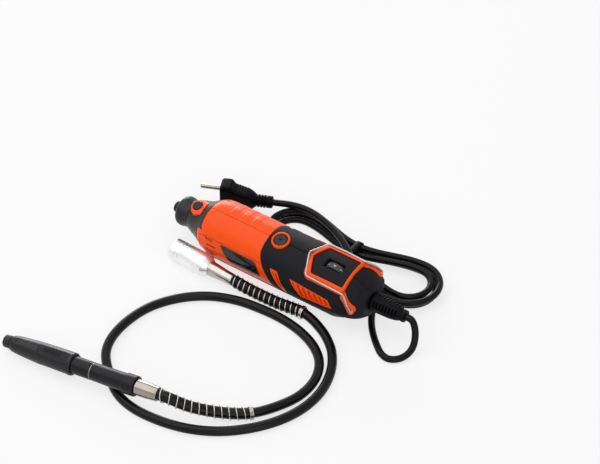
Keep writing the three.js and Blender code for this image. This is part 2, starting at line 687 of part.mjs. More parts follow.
function commutator() {
  const [x0, x1] = COMMUTATOR_X;
  const body = revolveTube([[x0 - 3, 10.2], [x0, 10.2], [x0, COMMUTATOR_R], [x1, COMMUTATOR_R]],
    [[x0 - 3, SPINDLE_R + GAP], [x1, SPINDLE_R + GAP]], 16);
  const slits = Array.from({ length: 8 }, (_, i) => {
    const slit = new THREE.BoxGeometry(x1 - x0 - 2, 0.5, 1);
    slit.translate((x0 + x1) / 2, 0, COMMUTATOR_R);
    slit.rotateX((2 * Math.PI * i) / 8 + 0.13);
    return toSolid(slit);
  });
  return cut(body, ...slits);
}

function coolingFan() {
  const [x0, x1] = FAN_X;
  const bore = SPINDLE_R + GAP;
  const disc = (end, r, sides) => revolveTube([[x0, r], [end, r]], [[x0, bore], [end, bore]], sides);
  const [plate, hub] = [disc(x0 + 1.4, FAN_R, 20), disc(x1, 7, 12)];
  const blades = Array.from({ length: FAN_BLADES }, (_, i) => {
    const blade = new THREE.BoxGeometry(x1 - x0 - 0.6, 1.2, FAN_R - 6.5);
    blade.translate((x0 + x1) / 2 + 0.3, 0, (FAN_R + 6.5) / 2 - 0.3);
    blade.rotateX(degrees(14));
    blade.translate(0, 1.6, 0);
    blade.rotateX((2 * Math.PI * i) / FAN_BLADES);
    return toSolid(blade);
  });
  return join(plate, hub, ...blades);
}

function fieldCore() {
  const [x0, x1] = FIELD_X;
  const ring = revolveTube([[x0, BODY_R - WALL - GAP], [x1, BODY_R - WALL - GAP]],
    [[x0, FIELD_BORE_R], [x1, FIELD_BORE_R]], 20);
  const pockets = [90, -90].map((middle) => sector(FIELD_BORE_R - 1, POCKET_R,
    middle - 40, middle + 40, x0 - 1, x1 + 1));
  return cut(ring, ...pockets);
}

/** Coil round one pole: two bars in the pockets and an arch over each end of the stack. */
function fieldCoil(middle) {
  const [x0, x1] = FIELD_X;
  const saddle = sector(FIELD_BORE_R + 0.6, POCKET_R - 0.4, middle - 82, middle + 82, x0 - 5, x1 + 5);
  return cut(saddle, sector(FIELD_BORE_R - 1.4, BODY_R, middle - 54, middle + 54, x0 - GAP, x1 + GAP));
}

function carbonBrush(sign) {
  const [length, width] = BRUSH_HOLDER.map((v) => v / 2 - 1);
  const brush = box([BRUSH_X - length, BRUSH_X + length], [-width, width], [COMMUTATOR_R + GAP, CAP_SEAT - 2.6]);
  const body = cut(brush, rod(100, 140, COMMUTATOR_R + GAP, 32));
  return sign > 0 ? body : body.mirror([0, 0, 1]);
}

function brushHolder(sign) {
  const [length, width] = BRUSH_HOLDER.map((v) => v / 2);
  const outer = box([BRUSH_X - length, BRUSH_X + length], [-width, width], [COMMUTATOR_R + 3.2, CAP_SEAT - GAP]);
  const bore = box([BRUSH_X - length + 0.7, BRUSH_X + length - 0.7], [-width + 0.7, width - 0.7], [8, 24]);
  const body = cut(outer, bore);
  return sign > 0 ? body : body.mirror([0, 0, 1]);
}

/** Screw-in brush cap with its driver slot. */
function brushCap(sign, top) {
  const cap = cut(post(BRUSH_X, 0, CAP_SEAT + GAP, top, BRUSH_CAP_R),
    box([BRUSH_X - 4, BRUSH_X + 4], [-0.6, 0.6], [top - 1.2, top + 1]));
  return sign > 0 ? cap : cap.mirror([0, 0, 1]);
}

/** Rim round a brush cap, seated on the clamshell inside the overmould. */
function brushRing(sign, top) {
  const blank = post(BRUSH_X, 0, CAP_SEAT - 1.6, top, BRUSH_RING_R, 16);
  const inside = bodyWall([() => [100, -SKIN], () => [140, -SKIN]], false);
  const ring = cut(blank, post(BRUSH_X, 0, 10, 40, BRUSH_CAP_R + GAP), inside);
  return sign > 0 ? ring : cut(ring.mirror([0, 0, 1]), belowFlats(-GAP));
}

// ---------------------------------------------------------------- speed panel, dial and bail
/** Raised orange frame with its bail groove and the two ears. */
function panelFrame() {
  const stock = bodyBand(148, 215.5, FRAME_RISE, GAP + 0.1);
  const ring = cut(common(stock, prismZ(panelOutline(FRAME_RIM), 0, 40)), prismZ(panelOutline(0), 0, 40));
  const ears = common(stock, prismY(EAR_OUTLINE, -40, 40));
  const groove = tube(bailPath(), WIRE_R + GAP, 6);
  return cut(join(ring, ears), groove);
}

function speedPanel() {
  const stock = bodyBand(150, 205, PANEL_RISE, GAP);
  return cut(common(stock, prismZ(panelOutline(-GAP), 0, 40)),
    box([WINDOW_X[0], WINDOW_X[1]], [-WINDOW_HALF, WINDOW_HALF], [10, 40]));
}

function speedDial() {
  const [x, z] = DIAL_CENTRE;
  const flutes = Array.from({ length: DIAL_FLUTES }, (_, i) => {
    const a = (2 * Math.PI * i) / DIAL_FLUTES;
    return pin(x + (DIAL_R + 0.5) * Math.cos(a), z + (DIAL_R + 0.5) * Math.sin(a), -5, 5, 0.9, 4);
  });
  return cut(pin(x, z, -DIAL_WIDTH / 2, DIAL_WIDTH / 2, DIAL_R, 36), pin(x, z, -5, 5, 2 + GAP, 12), ...flutes);
}

/** Control that turns with the dial's shaft and stands on the board. */
function speedPotentiometer() {
  const [x, z] = DIAL_CENTRE;
  const can = box([x - 6, x + 6], [DIAL_WIDTH / 2 + 1, DIAL_WIDTH / 2 + 7], [BOARD_Z + 1.6 + GAP, z + 2.2]);
  return join(can, pin(x, z, -DIAL_WIDTH / 2, DIAL_WIDTH / 2 + 2, 2, 16));
}

function controlBoard() {
  const inner = (x) => read(SIDE_PROFILE, x) - SKIN - 2 * GAP - REAR_WALL;
  const half = Math.sqrt(inner(BOARD_X[1]) ** 2 - BOARD_Z ** 2) - 2;
  return box(BOARD_X, [-half, half], [BOARD_Z, BOARD_Z + 1.6]);
}

const hangingBail = () => tube(bailPath(), WIRE_R, 6);

const nameplate = () => common(bodyBand(66, 116, -0.2, -0.6), prismY(NAMEPLATE_OUTLINE, -40, 0));

function housingScrew([x, z]) {
  const seat = Math.sqrt((BODY_R - SKIN - GAP - REAR_WALL) ** 2 - z * z);
  return cut(pin(x, z, seat, seat + 2.2, SCREW_HEAD_R),
    box([x - 0.5, x + 0.5], [seat + 1.2, seat + 4], [z - 2, z + 2]));
}

/** Slotted, tapered boot where the cord leaves the tail. */
function strainRelief() {
  const start = TAIL_END + GAP;
  const end = start + GLAND_LENGTH;
  const profile = [[208.5, 0], [208.5, 6.2], [start, 6.2], [start, GLAND_R - 0.6], [start + 1.5, GLAND_R],
    [start + 17, GLAND_R - 0.4], [end - 6, 6.2], [end - 3.2, 5], [end - 3, 5.6], [end, 5.4], [end, 0]];
  const slots = [];
  for (let i = 0; i < GLAND_SLOTS; i += 1) {
    const x = start + 4.5 + i * 4.2;
    for (let k = 0; k < 4; k += 1) {
      const slot = new THREE.BoxGeometry(1.4, 6.4, 3);
      slot.translate(x, 0, read(profile.slice(4, 8), x) + 0.1);
      slot.rotateX(degrees(90 * k + 45));
      slots.push(toSolid(slot));
    }
  }
  return cut(revolve(profile, 10), ...slots);
}

// ---------------------------------------------------------------- flexible shaft
/** Where the coupling's mouth and the handpiece's tip lie, and where their axes point. */
const COUPLING_MOUTH = vec(21.5, -33, SLEEVE_R + 0.1);
const COUPLING_HEADING = vec(65.5, -2.6, 0).normalize();
const HANDPIECE_TIP = vec(-21.5, -209, 8.2);
const HANDPIECE_HEADING = vec(153.1, 16.5, 12.3).normalize();

// lengths along the handpiece, from its tip
const TIP_END = 9;
const GRIP_START = 7.5;
const GRIP_END_X = 72;
const JOINT_X = 91;
const COLLAR_X = [124, 135];
const FERRULE_END = 154;
const FERRULE_R = [7, 5.9];

const COUPLING_AIM = COUPLING_MOUTH.clone().addScaledVector(COUPLING_HEADING, SLEEVE_LENGTH + NECK_LENGTH + GAP);
const HANDPIECE_AIM = HANDPIECE_TIP.clone().addScaledVector(HANDPIECE_HEADING, FERRULE_END + GAP);

/** Hose centreline, chosen by hand, from the coupling round to the handpiece. */
const HOSE_ROUTE = [[108, -36, 9.6], [136, -33.6, 7.2], [163.5, -30, 6.4], [173, -31, 5.2], [184.5, -35, 4.4],
  [197, -42, 4.4], [211, -54, 4.4],
  [223.5, -73, 4.4], [230.8, -97, 4.4], [230.4, -121, 4.4], [222.5, -145, 4.4], [207.5, -167.5, 4.4],
  [188, -185.5, 4.4], [164, -198, 4.4], [135, -204.5, 4.4], [111.5, -204.5, 4.4], [92, -198.5, 4.4],
  [69.5, -182, 4.4], [54.8, -167, 4.4], [47, -149, 4.4], [45.1, -123, 4.4], [50.2, -98.7, 4.4],
  [63.7, -76.3, 4.4], [82.6, -59.6, 4.4], [105.6, -49.6, 4.4], [130.2, -45.8, 4.4], [152.6, -45.4, 4.4],
  [175, -49.2, 4.4], [195.5, -58, 4.4], [210, -71, 4.4], [218.6, -89.5, 4.4], [219.4, -110.5, 4.4],
  [213, -132, 5.5], [200, -153.5, 6.5], [181, -169, 8.4], [159, -183.5, 14.4]];
const HOSE_STRAIGHT = 9;            // straight stretch of the hose at both ends
const DRIVE_GUARD_LENGTH = 77;
const HANDPIECE_GUARD_LENGTH = 88;
const HOSE_STEPS = 58;

/** Group whose +X axis runs from one point towards another. */
function axisGroup(from, aim) {
  const group = new THREE.Group();
  const forward = aim.clone().sub(from).normalize();
  const side = vec(0, 0, 1).cross(forward).normalize();
  group.position.copy(from);
  group.quaternion.setFromRotationMatrix(new THREE.Matrix4().makeBasis(forward, side, forward.clone().cross(side)));
  return group;
}

/** Drive sleeve with two turned grooves and an open mouth. */
function couplingSleeve() {
  const groove = SLEEVE_R - 0.5;
  const outer = [[0, SLEEVE_R - 0.5], [0.5, SLEEVE_R], [6, SLEEVE_R], [6.3, groove], [7.3, groove], [7.6, SLEEVE_R],
    [10, SLEEVE_R], [10.3, groove], [11.3, groove], [11.6, SLEEVE_R], [SLEEVE_LENGTH - 4.5, SLEEVE_R],
    [SLEEVE_LENGTH - 1, NECK_R + 2.4], [SLEEVE_LENGTH, NECK_R + 1.6]];
  const inner = [[0, SLEEVE_BORE_R], [SLEEVE_BORE_DEPTH, SLEEVE_BORE_R], [SLEEVE_BORE_DEPTH, NECK_R - 1.6],
    [SLEEVE_LENGTH - 6, NECK_R - 1.6], [SLEEVE_LENGTH - 6, NECK_R + GAP], [SLEEVE_LENGTH, NECK_R + GAP]];
  return revolveTube(outer, inner, 16);
}

/** Polished ferrule that carries the sleeve and grips the hose. */
function couplingNeck() {
  const start = SLEEVE_LENGTH - 6 + GAP;
  const end = SLEEVE_LENGTH + NECK_LENGTH;
  return revolveTube([[start, NECK_R], [end - 1, NECK_R], [end, NECK_R - 0.6]], [[start, 2], [end, 2]], 16);
}

/** Drive shank that turns inside the sleeve and the neck. */
function driveShank() {
  const end = SLEEVE_LENGTH + NECK_LENGTH - 6;
  const shank = revolve([[SLEEVE_BORE_DEPTH - 7, 0], [SLEEVE_BORE_DEPTH - 7, 1.6], [end, 1.6], [end, 0]], 12);
  const collar = revolve([[SLEEVE_BORE_DEPTH + 1, 0], [SLEEVE_BORE_DEPTH + 1, 3.2], [SLEEVE_BORE_DEPTH + 5, 3.2],
    [SLEEVE_BORE_DEPTH + 5, 0]], 12);
  return join(shank, collar);
}

/** Centreline of the whole hose, straight where it leaves the coupling and the handpiece. */
function hoseCurve() {
  const stretch = (from, aim) => {
    const along = aim.clone().sub(from).normalize();
    return [aim, aim.clone().addScaledVector(along, HOSE_STRAIGHT)];
  };
  const [start, ahead] = stretch(COUPLING_MOUTH, COUPLING_AIM);
  const [end, behind] = stretch(HANDPIECE_TIP, HANDPIECE_AIM);
  return smooth([start, ahead, ...HOSE_ROUTE.map(([x, y, z]) => vec(x, y, z)), behind, end]);
}

/** Point on a circle of radius r round the hose, u along its length. */
function roundHose(curve, u, angle, r) {
  const centre = curve.getPointAt(u);
  const tangent = curve.getTangentAt(u);
  const side = vec(0, 0, 1).cross(tangent).normalize();
  const up = tangent.clone().cross(side);
  return centre.addScaledVector(side, r * Math.cos(angle)).addScaledVector(up, r * Math.sin(angle));
}

/** Spring round the hose: open turns from its root at u0, close turns before its end at u1. */
function springGuard(curve, u0, u1, openTurns, closeTurns) {
  const span = Math.abs(u1 - u0) * curve.getLength();
  const closeShare = (closeTurns * (2 * GUARD_WIRE_R + 0.8)) / span;
  const lead = (2 * GUARD_WIRE_R) / span;
  const turns = openTurns + closeTurns;
  const steps = turns * GUARD_STEPS;
  const share = (k) => {
    const turn = (k / steps) * turns;
    const done = Math.min(turn / openTurns, 1) * (1 - closeShare);
    return lead + (done + (Math.max(turn - openTurns, 0) / closeTurns) * closeShare) * (1 - 2 * lead);
  };
  const at = (part, k) => roundHose(curve, u0 + (u1 - u0) * part, (2 * Math.PI * k) / GUARD_STEPS, GUARD_R);
  const coil = Array.from({ length: steps + 1 }, (_, k) => at(share(k), k));
  const wire = [at(0, 0), ...coil, at(1, steps)];
  console.log(`spring guard least gap to itself ${leastGap(wire, GUARD_STEPS, GUARD_WIRE_R).toFixed(2)} mm`);
  return tube(wire, GUARD_WIRE_R, 4);
}

/** Least clear distance between turns of a tube, on its centreline points. */
function leastGap(points, skip, radius) {
  let least = Infinity;
  for (let i = 0; i < points.length; i += 1) {
    for (let j = i + Math.floor(skip * 0.6); j < points.length; j += 1) {
      least = Math.min(least, points[i].distanceTo(points[j]));
    }
  }
  return least - 2 * radius;
}

function hose(curve) {
  const length = curve.getLength();
  console.log(`hose length ${length.toFixed(0)} mm`);
  const inset = GAP / length;
  const middle = Array.from({ length: HOSE_STEPS + 1 },
    (_, k) => curve.getPointAt((HOSE_STRAIGHT + (k / HOSE_STEPS) * (length - 2 * HOSE_STRAIGHT)) / length));
  return tube([curve.getPointAt(inset), ...middle, curve.getPointAt(1 - inset)], HOSE_R, 8);
}

// handpiece, along its own axis from the tip
function handpieceNut() {
  const end = TIP_END - 1;
  return revolveTube([[0, TIP_R - 0.6], [0.6, TIP_R], [end - 1.5, TIP_R], [end - 0.8, 4.4], [end, 4.4]],
    [[0, SHANK_R], [end, SHANK_R]], 16);
}

function handpieceSpindle() {
  const [start, end] = [TIP_END - 1 + GAP, JOINT_X - 6];
  return revolveTube([[start, 2.9], [end, 2.9]], [[start, SHANK_R], [end, SHANK_R]], 14);
}

function gripSleeve() {
  const outer = [[GRIP_START, 6.4], [GRIP_START + 5, 7.6], [22, 8.5], [40, 9.5], [GRIP_END_X - 8, GRIP_R],
    [GRIP_END_X - 1.5, GRIP_R], [GRIP_END_X, GRIP_R - 1]];
  const bore = BARREL_R - 2.2;
  const inner = [[GRIP_START, 4.9], [GRIP_START + 3, 2.9 + GAP], [GRIP_START + 8, bore], [GRIP_END_X - 14, bore],
    [GRIP_END_X - 14, BARREL_R + GAP], [GRIP_END_X, BARREL_R + GAP]];
  const pads = [0, 120, 240].map((angle) => {
    const pad = new THREE.BoxGeometry(27, 7.5, 3);
    pad.translate(47, 0, GRIP_R + 0.8);
    pad.rotateX(degrees(angle));
    return toSolid(pad);
  });
  const flats = [0, 120, 240].map((angle) => {
    const flat = new THREE.BoxGeometry(9, 9, 3);
    flat.rotateY(degrees(-8));
    flat.translate(18, 0, 9.2);
    flat.rotateX(degrees(angle));
    return toSolid(flat);
  });
  return cut(revolveTube(outer, inner, 16), ...pads, ...flats);
}

/** Barrel in two lengths screwed together, with the bright joint between them. */
function barrelFront() {
  return revolveTube([[GRIP_END_X - 13.7, BARREL_R], [JOINT_X - 0.6, BARREL_R]],
    [[GRIP_END_X - 13.7, 2.9 + GAP], [JOINT_X - 0.6, 2.9 + GAP]], 16);
}

function jointRing() {
  return revolveTube([[JOINT_X - 0.3, BARREL_R - 0.15], [JOINT_X + 0.3, BARREL_R - 0.15]],
    [[JOINT_X - 0.3, 4.4], [JOINT_X + 0.3, 4.4]], 16);
}

function barrelRear() {
  const [x0, x1] = COLLAR_X;
  return revolveTube([[JOINT_X + 0.6, BARREL_R], [x0 - 0.6, BARREL_R + 0.3], [x0, BARREL_R + 1.2],
    [x1 - 0.8, BARREL_R + 1.2], [x1, BARREL_R + 0.6]], [[JOINT_X + 0.6, 4.4], [x1, 4.4]], 16);
}

/** Faceted nickel ferrule that narrows to the hose. */
function handpieceFerrule() {
  const x0 = COLLAR_X[1] + GAP;
  return revolveTube([[x0, FERRULE_R[0]], [x0 + 9, FERRULE_R[0]], [FERRULE_END, FERRULE_R[1]]],
    [[x0, 2], [FERRULE_END, 2]], 16);
}

// ---------------------------------------------------------------- power cord
/** Route of the cord from the gland to the hank, and from the hank to the plug. */
const PLUG_YAW = 25;
const PLUG_HALF = 17.2;              // half width; the plug stands on its narrow side
const PLUG_RELIEF_END = vec(61.8, 63.6, PLUG_HALF + 0.4);
const FREE_ROUTE = [[261, -2.2, 21.5], [264, -5.8, 13.5], [265.2, -11, 7], [264.6, -18, 4.2],
  [261, -26.5, 3.4], [254, -31.5, 3.4], [246, -30, 3.4], [237.5, -24, 3.4], [229, -16.5, 3.4], [221, -8, 3.4],
  [214, 1.5, 3.4], [208.5, 11, 3.4], [202, 20, 3.4], [193, 27.2, 3.6]];
const LEAD_ROUTE = [[204, 24.4, 10.9], [192, 28, 12.6], [180, 33, 15.4], [168, 39.5, 18.4], [156, 47.5, 20.2],
  [144, 55.5, 20.2], [132, 62, 19.6], [120, 67.2, 19], [108, 71, 18.4], [96, 73, 18], [84, 72.4, 17.7],
  [74, 69.4, 17.6]];

/** Centre of the cord in the hank at t loops from the right-hand end of the near run. */
function hankPoint(t) {
  const inward = Math.max(0, HANK_TURNAROUND - t);
  const outward = Math.max(0, t - HANK_TURNAROUND - 0.25);
  const half = FOLD_R + STRAND_PITCH * (inward + outward) + START_SPREAD * Math.max(0, 1 - 4 * t);
  const quarter = (t - Math.floor(t)) * 4;
  const part = Math.floor(quarter);
  const s = quarter - part;
  const side = part < 2 ? -1 : 1;
  const onRun = part % 2 === 0;
  const x = onRun ? side * RUN_HALF * (2 * s - 1) : side * (RUN_HALF + half * Math.sin(Math.PI * s));
  const waist = WAIST_DRAW * 0.5 * (1 + Math.cos((Math.PI * x) / RUN_HALF));
  const y = onRun ? side * (half - waist) : side * half * Math.cos(Math.PI * s);
  const climb = THREE.MathUtils.smoothstep(t, HANK_TURNAROUND, HANK_TURNAROUND + 0.25);
  const hump = 0.5 * (1 + Math.cos((Math.PI * Math.min(Math.abs(x), RUN_HALF)) / RUN_HALF));
  const z = CORD_R + GAP + (TIE_WALL + GAP) * hump + LAYER_PITCH * climb;
  return vec(HANK_CENTRE[0] + x, HANK_CENTRE[1] + y, z);
}

/** Straight end pieces, one cord diameter long, that meet a neighbour face to face. */
function extend(points, atStart, atEnd) {
  const out = [...points];
  const reach = 2 * CORD_R;
  if (atStart) {
    const along = points[0].clone().sub(points[1]).normalize();
    out.unshift(points[0].clone().addScaledVector(along, reach));
  }
  if (atEnd) {
    const along = points[points.length - 1].clone().sub(points[points.length - 2]).normalize();
    out.push(points[points.length - 1].clone().addScaledVector(along, reach));
  }
  return out;
}

function hankPath() {
  const steps = Math.round((HANK_END - HANK_START) * LOOP_STEPS);
  const loops = Array.from({ length: steps + 1 },
    (_, k) => hankPoint(HANK_START + ((HANK_END - HANK_START) * k) / steps));
  return extend(loops, true, true);
}

function cordHank() {
  const path = hankPath();
  const lengths = path.slice(1).map((p, i) => p.distanceTo(path[i]));
  console.log(`hank least gap to itself ${leastGap(path, LOOP_STEPS * 0.7, CORD_R).toFixed(2)} mm`,
    `length ${lengths.reduce((a, b) => a + b, 0).toFixed(0)} mm`);
  return tube(path, CORD_R, LOOP_SIDES);
}

/** Straight lead of a stretch: where it starts, one gap off a face, and one diameter on. */
function leadFrom(point, towards) {
  const along = towards.clone().sub(point).normalize();
  return [GAP, GAP + 2 * CORD_R].map((reach) => point.clone().addScaledVector(along, reach));
}

/** A free stretch through its route that meets both its neighbours face to face. */
function freeCord([start, ahead], route, [end, behind], steps) {
  const curve = smooth([ahead, ...route.map(([x, y, z]) => vec(x, y, z)), behind]);
  console.log(`cord stretch ${(curve.getLength() + 4 * CORD_R).toFixed(0)} mm`);
  return tube([start, ...curve.getSpacedPoints(steps), end], CORD_R, 8);
}

function cordFree() {
  const glandEnd = tool.localToWorld(vec(TAIL_END + GAP + GLAND_LENGTH, 0, 0));
  const path = hankPath();
  const hankStart = leadFrom(path[0], path[0].clone().multiplyScalar(2).sub(path[1]));
  return freeCord(leadFrom(glandEnd, glandEnd.clone().add(vec(1, 0, 0))), FREE_ROUTE, hankStart, 30);
}

function cordLead() {
  const [last, before] = hankPath().slice(-2).reverse();
  const hankEnd = leadFrom(last, last.clone().multiplyScalar(2).sub(before));
  const heading = vec(Math.cos(degrees(PLUG_YAW)), Math.sin(degrees(PLUG_YAW)), 0);
  return freeCord(hankEnd, LEAD_ROUTE, leadFrom(PLUG_RELIEF_END, PLUG_RELIEF_END.clone().add(heading)), 28);
}

/** Strap round the waist of the hank. */
function cordTie() {
  const [cx] = HANK_CENTRE;
  const path = hankPath();
  const strands = path.slice(1).flatMap((to, i) => [0, 0.25, 0.5, 0.75].map((s) => path[i].clone().lerp(to, s)))
    .filter((p) => Math.abs(p.x - cx) < TIE_HALF + 2 * GAP + 1);
  const reach = CORD_R + GAP;
  const y = [Math.min(...strands.map((p) => p.y)) - reach, Math.max(...strands.map((p) => p.y)) + reach];
  const z = [TIE_WALL + GAP / 2, Math.max(...strands.map((p) => p.z)) + reach];
  return cut(box([cx - TIE_HALF, cx + TIE_HALF], [y[0] - TIE_WALL, y[1] + TIE_WALL], [GAP / 2, z[1] + TIE_WALL]),
    box([cx - 2 * TIE_HALF, cx + 2 * TIE_HALF], y, z));
}

/** Moulded two-pin plug along its own axis, from the pin face to the end of its ribbed relief. */
function plugBody() {
  const half = (w, h, x, c = 3) => [[w - c, h], [w, h - c], [w, -h + c], [w - c, -h], [-w + c, -h], [-w, -h + c],
    [-w, h - c], [-w + c, h]].map(([y, z]) => vec(x, y, z));
  const body = loft([half(PLUG_HALF - 0.7, 8, 0, 5), half(PLUG_HALF, 8.2, 2, 5), half(PLUG_HALF, 8.2, 8, 5),
    half(12.6, 7.8, 9.5, 4), half(11.5, 7.6, 24, 3.6), half(8, 6.6, 31, 3)]);
  const ribs = [[30, 0]];
  for (let x = 31; x < 45; x += 4.8) ribs.push([x, 5.8], [x + 3, 5.6], [x + 3, 4.5], [x + 4.8, 4.5]);
  ribs.push([48, 4.4], [48, 0]);
  return join(body, revolve(ribs, 12));
}

const PLUG_LENGTH = 48;
const plugPin = (y) => revolve([[-19.3, 0], [-19.3, 1.4], [-18, 2], [-GAP, 2], [-GAP, 0]], 12)
  .translate([0, y, 0]);

// ---------------------------------------------------------------- assembly
const tool = new THREE.Group();
tool.rotation.x = degrees(REST_ANGLE);
tool.position.z = REST_DISTANCE;
const shaft = new THREE.Group();         // the flexible shaft, in front of the tool
const cord = new THREE.Group();          // power cord and plug, left out of the origin's box

function place(group, name, solid, material) {
  const mesh = new THREE.Mesh(toGeometry(solid), material);
  mesh.name = name;
  group.add(mesh);
  return mesh;
}

function buildTool() {
  place(tool, 'spindle', spindle(), STEEL);
  place(tool, 'collet', collet(), STEEL);
  place(tool, 'collet_nut', colletNut(), BLACK);
  place(tool, 'nose_cap', noseCap(), BLACK);
  place(tool, 'front_housing', frontHousing(), BLACK);
  place(tool, 'lock_bezel', lockBezel(), ORANGE);
  place(tool, 'lock_button', lockButton(), BLACK);
  place(tool, 'front_bearing', bearing(FRONT_BEARING_X, FRONT_BEARING_R, SPINDLE_R), STEEL);
  place(tool, 'rear_bearing', bearing(REAR_BEARING_X, REAR_BEARING_R, 2.5), STEEL);
  place(tool, 'armature_core', armatureCore(), STEEL);
  place(tool, 'armature_winding', armatureWinding(), COPPER);
  place(tool, 'commutator', commutator(), COPPER);
  place(tool, 'cooling_fan', coolingFan(), BLACK);
  place(tool, 'field_core', fieldCore(), STEEL);
  place(tool, 'field_coil_top', fieldCoil(0), COPPER);
  place(tool, 'field_coil_bottom', fieldCoil(180), COPPER);
  for (const [label, sign, capTop, ringTop] of [['top', 1, BODY_R + 1.2, BODY_R + 2],
    ['bottom', -1, BODY_R - 2, BODY_R]]) {
    place(tool, `carbon_brush_${label}`, carbonBrush(sign), CARBON);
    place(tool, `brush_holder_${label}`, brushHolder(sign), BRASS);
    place(tool, `brush_cap_${label}`, brushCap(sign, capTop), BLACK);
    place(tool, `brush_ring_${label}`, brushRing(sign, ringTop), ORANGE);
  }
  place(tool, 'housing_left', housingHalf(-1), ORANGE);
  place(tool, 'housing_right', cut(join(housingHalf(1), common(screwBosses(), halfSpace(1))),
    ...SCREW_PLACES.map(([x, z]) => screwWell(x, z))), ORANGE);
  place(tool, 'grip_left', gripHalf(-1), SOFT_BLACK);
  place(tool, 'grip_right', gripHalf(1), SOFT_BLACK);
  place(tool, 'nameplate', nameplate(), BLACK);
  place(tool, 'panel_frame', panelFrame(), ORANGE);
  place(tool, 'speed_panel', speedPanel(), BLACK);
  place(tool, 'speed_dial', speedDial(), DIAL_GREY);
  place(tool, 'speed_potentiometer', speedPotentiometer(), BLACK);
  place(tool, 'control_board', controlBoard(), BOARD_GREEN);
  place(tool, 'hanging_bail', hangingBail(), STEEL);
  SCREW_PLACES.forEach((spot, i) => place(tool, `housing_screw_${i + 1}`, housingScrew(spot), STEEL));
  place(tool, 'strain_relief', strainRelief(), RUBBER);
}

function screwWell(x, z) {
  const seat = Math.sqrt((BODY_R - SKIN - GAP - REAR_WALL) ** 2 - z * z) - GAP;
  return pin(x, z, seat, 40, SCREW_HEAD_R + GAP);
}

function buildFlexibleShaft() {
  const coupling = axisGroup(COUPLING_MOUTH, COUPLING_AIM);
  place(coupling, 'coupling_sleeve', couplingSleeve(), ALUMINIUM);
  place(coupling, 'coupling_neck', couplingNeck(), STEEL);
  place(coupling, 'drive_shank', driveShank(), STEEL);
  const curve = hoseCurve();
  const along = (mm) => mm / curve.getLength();
  const root = along(2 * GAP);
  place(shaft, 'spring_guard_drive', springGuard(curve, root, along(DRIVE_GUARD_LENGTH), 13, 3), STEEL);
  place(shaft, 'spring_guard_handpiece',
    springGuard(curve, 1 - root, 1 - along(HANDPIECE_GUARD_LENGTH), 12, 3), STEEL);
  place(shaft, 'hose', hose(curve), RUBBER);
  const handpiece = axisGroup(HANDPIECE_TIP, HANDPIECE_AIM);
  place(handpiece, 'handpiece_nut', handpieceNut(), BLACK);
  place(handpiece, 'handpiece_spindle', handpieceSpindle(), STEEL);
  place(handpiece, 'grip_sleeve', gripSleeve(), BLACK);
  place(handpiece, 'barrel_front', barrelFront(), BLACK);
  place(handpiece, 'joint_ring', jointRing(), NICKEL);
  place(handpiece, 'barrel_rear', barrelRear(), BLACK);
  place(handpiece, 'handpiece_ferrule', handpieceFerrule(), NICKEL);
  shaft.add(coupling, handpiece);
}

function buildCord() {
  tool.updateMatrixWorld(true);
  place(cord, 'cord_free', cordFree(), RUBBER);
  place(cord, 'cord_hank', cordHank(), RUBBER);
  place(cord, 'cord_lead', cordLead(), RUBBER);
  place(cord, 'cord_tie', cordTie(), RUBBER);
  const plug = new THREE.Group();
  plug.rotation.set(Math.PI / 2, 0, degrees(PLUG_YAW), 'ZYX');
  const heading = vec(Math.cos(degrees(PLUG_YAW)), Math.sin(degrees(PLUG_YAW)), 0);
  plug.position.copy(PLUG_RELIEF_END).addScaledVector(heading, -PLUG_LENGTH);
  place(plug, 'plug', plugBody(), RUBBER);
  place(plug, 'plug_pin_lower', plugPin(-9.3), NICKEL);
  place(plug, 'plug_pin_upper', plugPin(9.3), NICKEL);
  cord.add(plug);
}

/** Shift that puts the origin under the middle of the object without its cord. */
function centreOnFloor(group, measured) {
  group.updateMatrixWorld(true);
  const box = new THREE.Box3();
  measured.forEach((part) => box.expandByObject(part, true));
  group.position.set(-(box.min.x + box.max.x) / 2, -(box.min.y + box.max.y) / 2, 0);
}

buildTool();
buildFlexibleShaft();
buildCord();

const whole = new THREE.Group();
whole.add(tool, shaft, cord);
centreOnFloor(whole, [tool, ...shaft.children.filter((part) => part.name !== 'hose')]);
export default whole;
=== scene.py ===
"""Rotary tool with a hanging bail, its power cord, and a flexible drive shaft with handpiece.

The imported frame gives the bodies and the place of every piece. Shapes are worked out with numpy in
millimetres, in the frame of the sub-assembly they belong to, and are carried into the row frame, in
metres, when they become objects.
"""
import logging
import math
from dataclasses import dataclass, field
from enum import Enum
from typing import Sequence

import bmesh
import bpy
import numpy as np
from mathutils import Matrix, Vector


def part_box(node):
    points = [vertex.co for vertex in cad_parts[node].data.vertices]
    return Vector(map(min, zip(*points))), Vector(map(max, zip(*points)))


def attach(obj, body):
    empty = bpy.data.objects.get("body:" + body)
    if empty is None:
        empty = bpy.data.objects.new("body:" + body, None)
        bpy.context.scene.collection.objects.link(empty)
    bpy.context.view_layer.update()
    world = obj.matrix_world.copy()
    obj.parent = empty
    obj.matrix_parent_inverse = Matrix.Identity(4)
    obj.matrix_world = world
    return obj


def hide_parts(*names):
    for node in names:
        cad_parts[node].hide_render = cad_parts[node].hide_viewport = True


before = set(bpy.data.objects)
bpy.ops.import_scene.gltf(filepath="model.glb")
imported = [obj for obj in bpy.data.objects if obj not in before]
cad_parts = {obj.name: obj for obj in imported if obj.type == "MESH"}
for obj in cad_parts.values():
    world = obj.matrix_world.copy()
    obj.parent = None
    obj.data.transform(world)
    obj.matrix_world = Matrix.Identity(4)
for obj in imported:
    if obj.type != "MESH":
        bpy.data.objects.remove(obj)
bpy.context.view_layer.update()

Array = np.ndarray
MM = 0.001
LOG = logging.getLogger("rotary_tool")


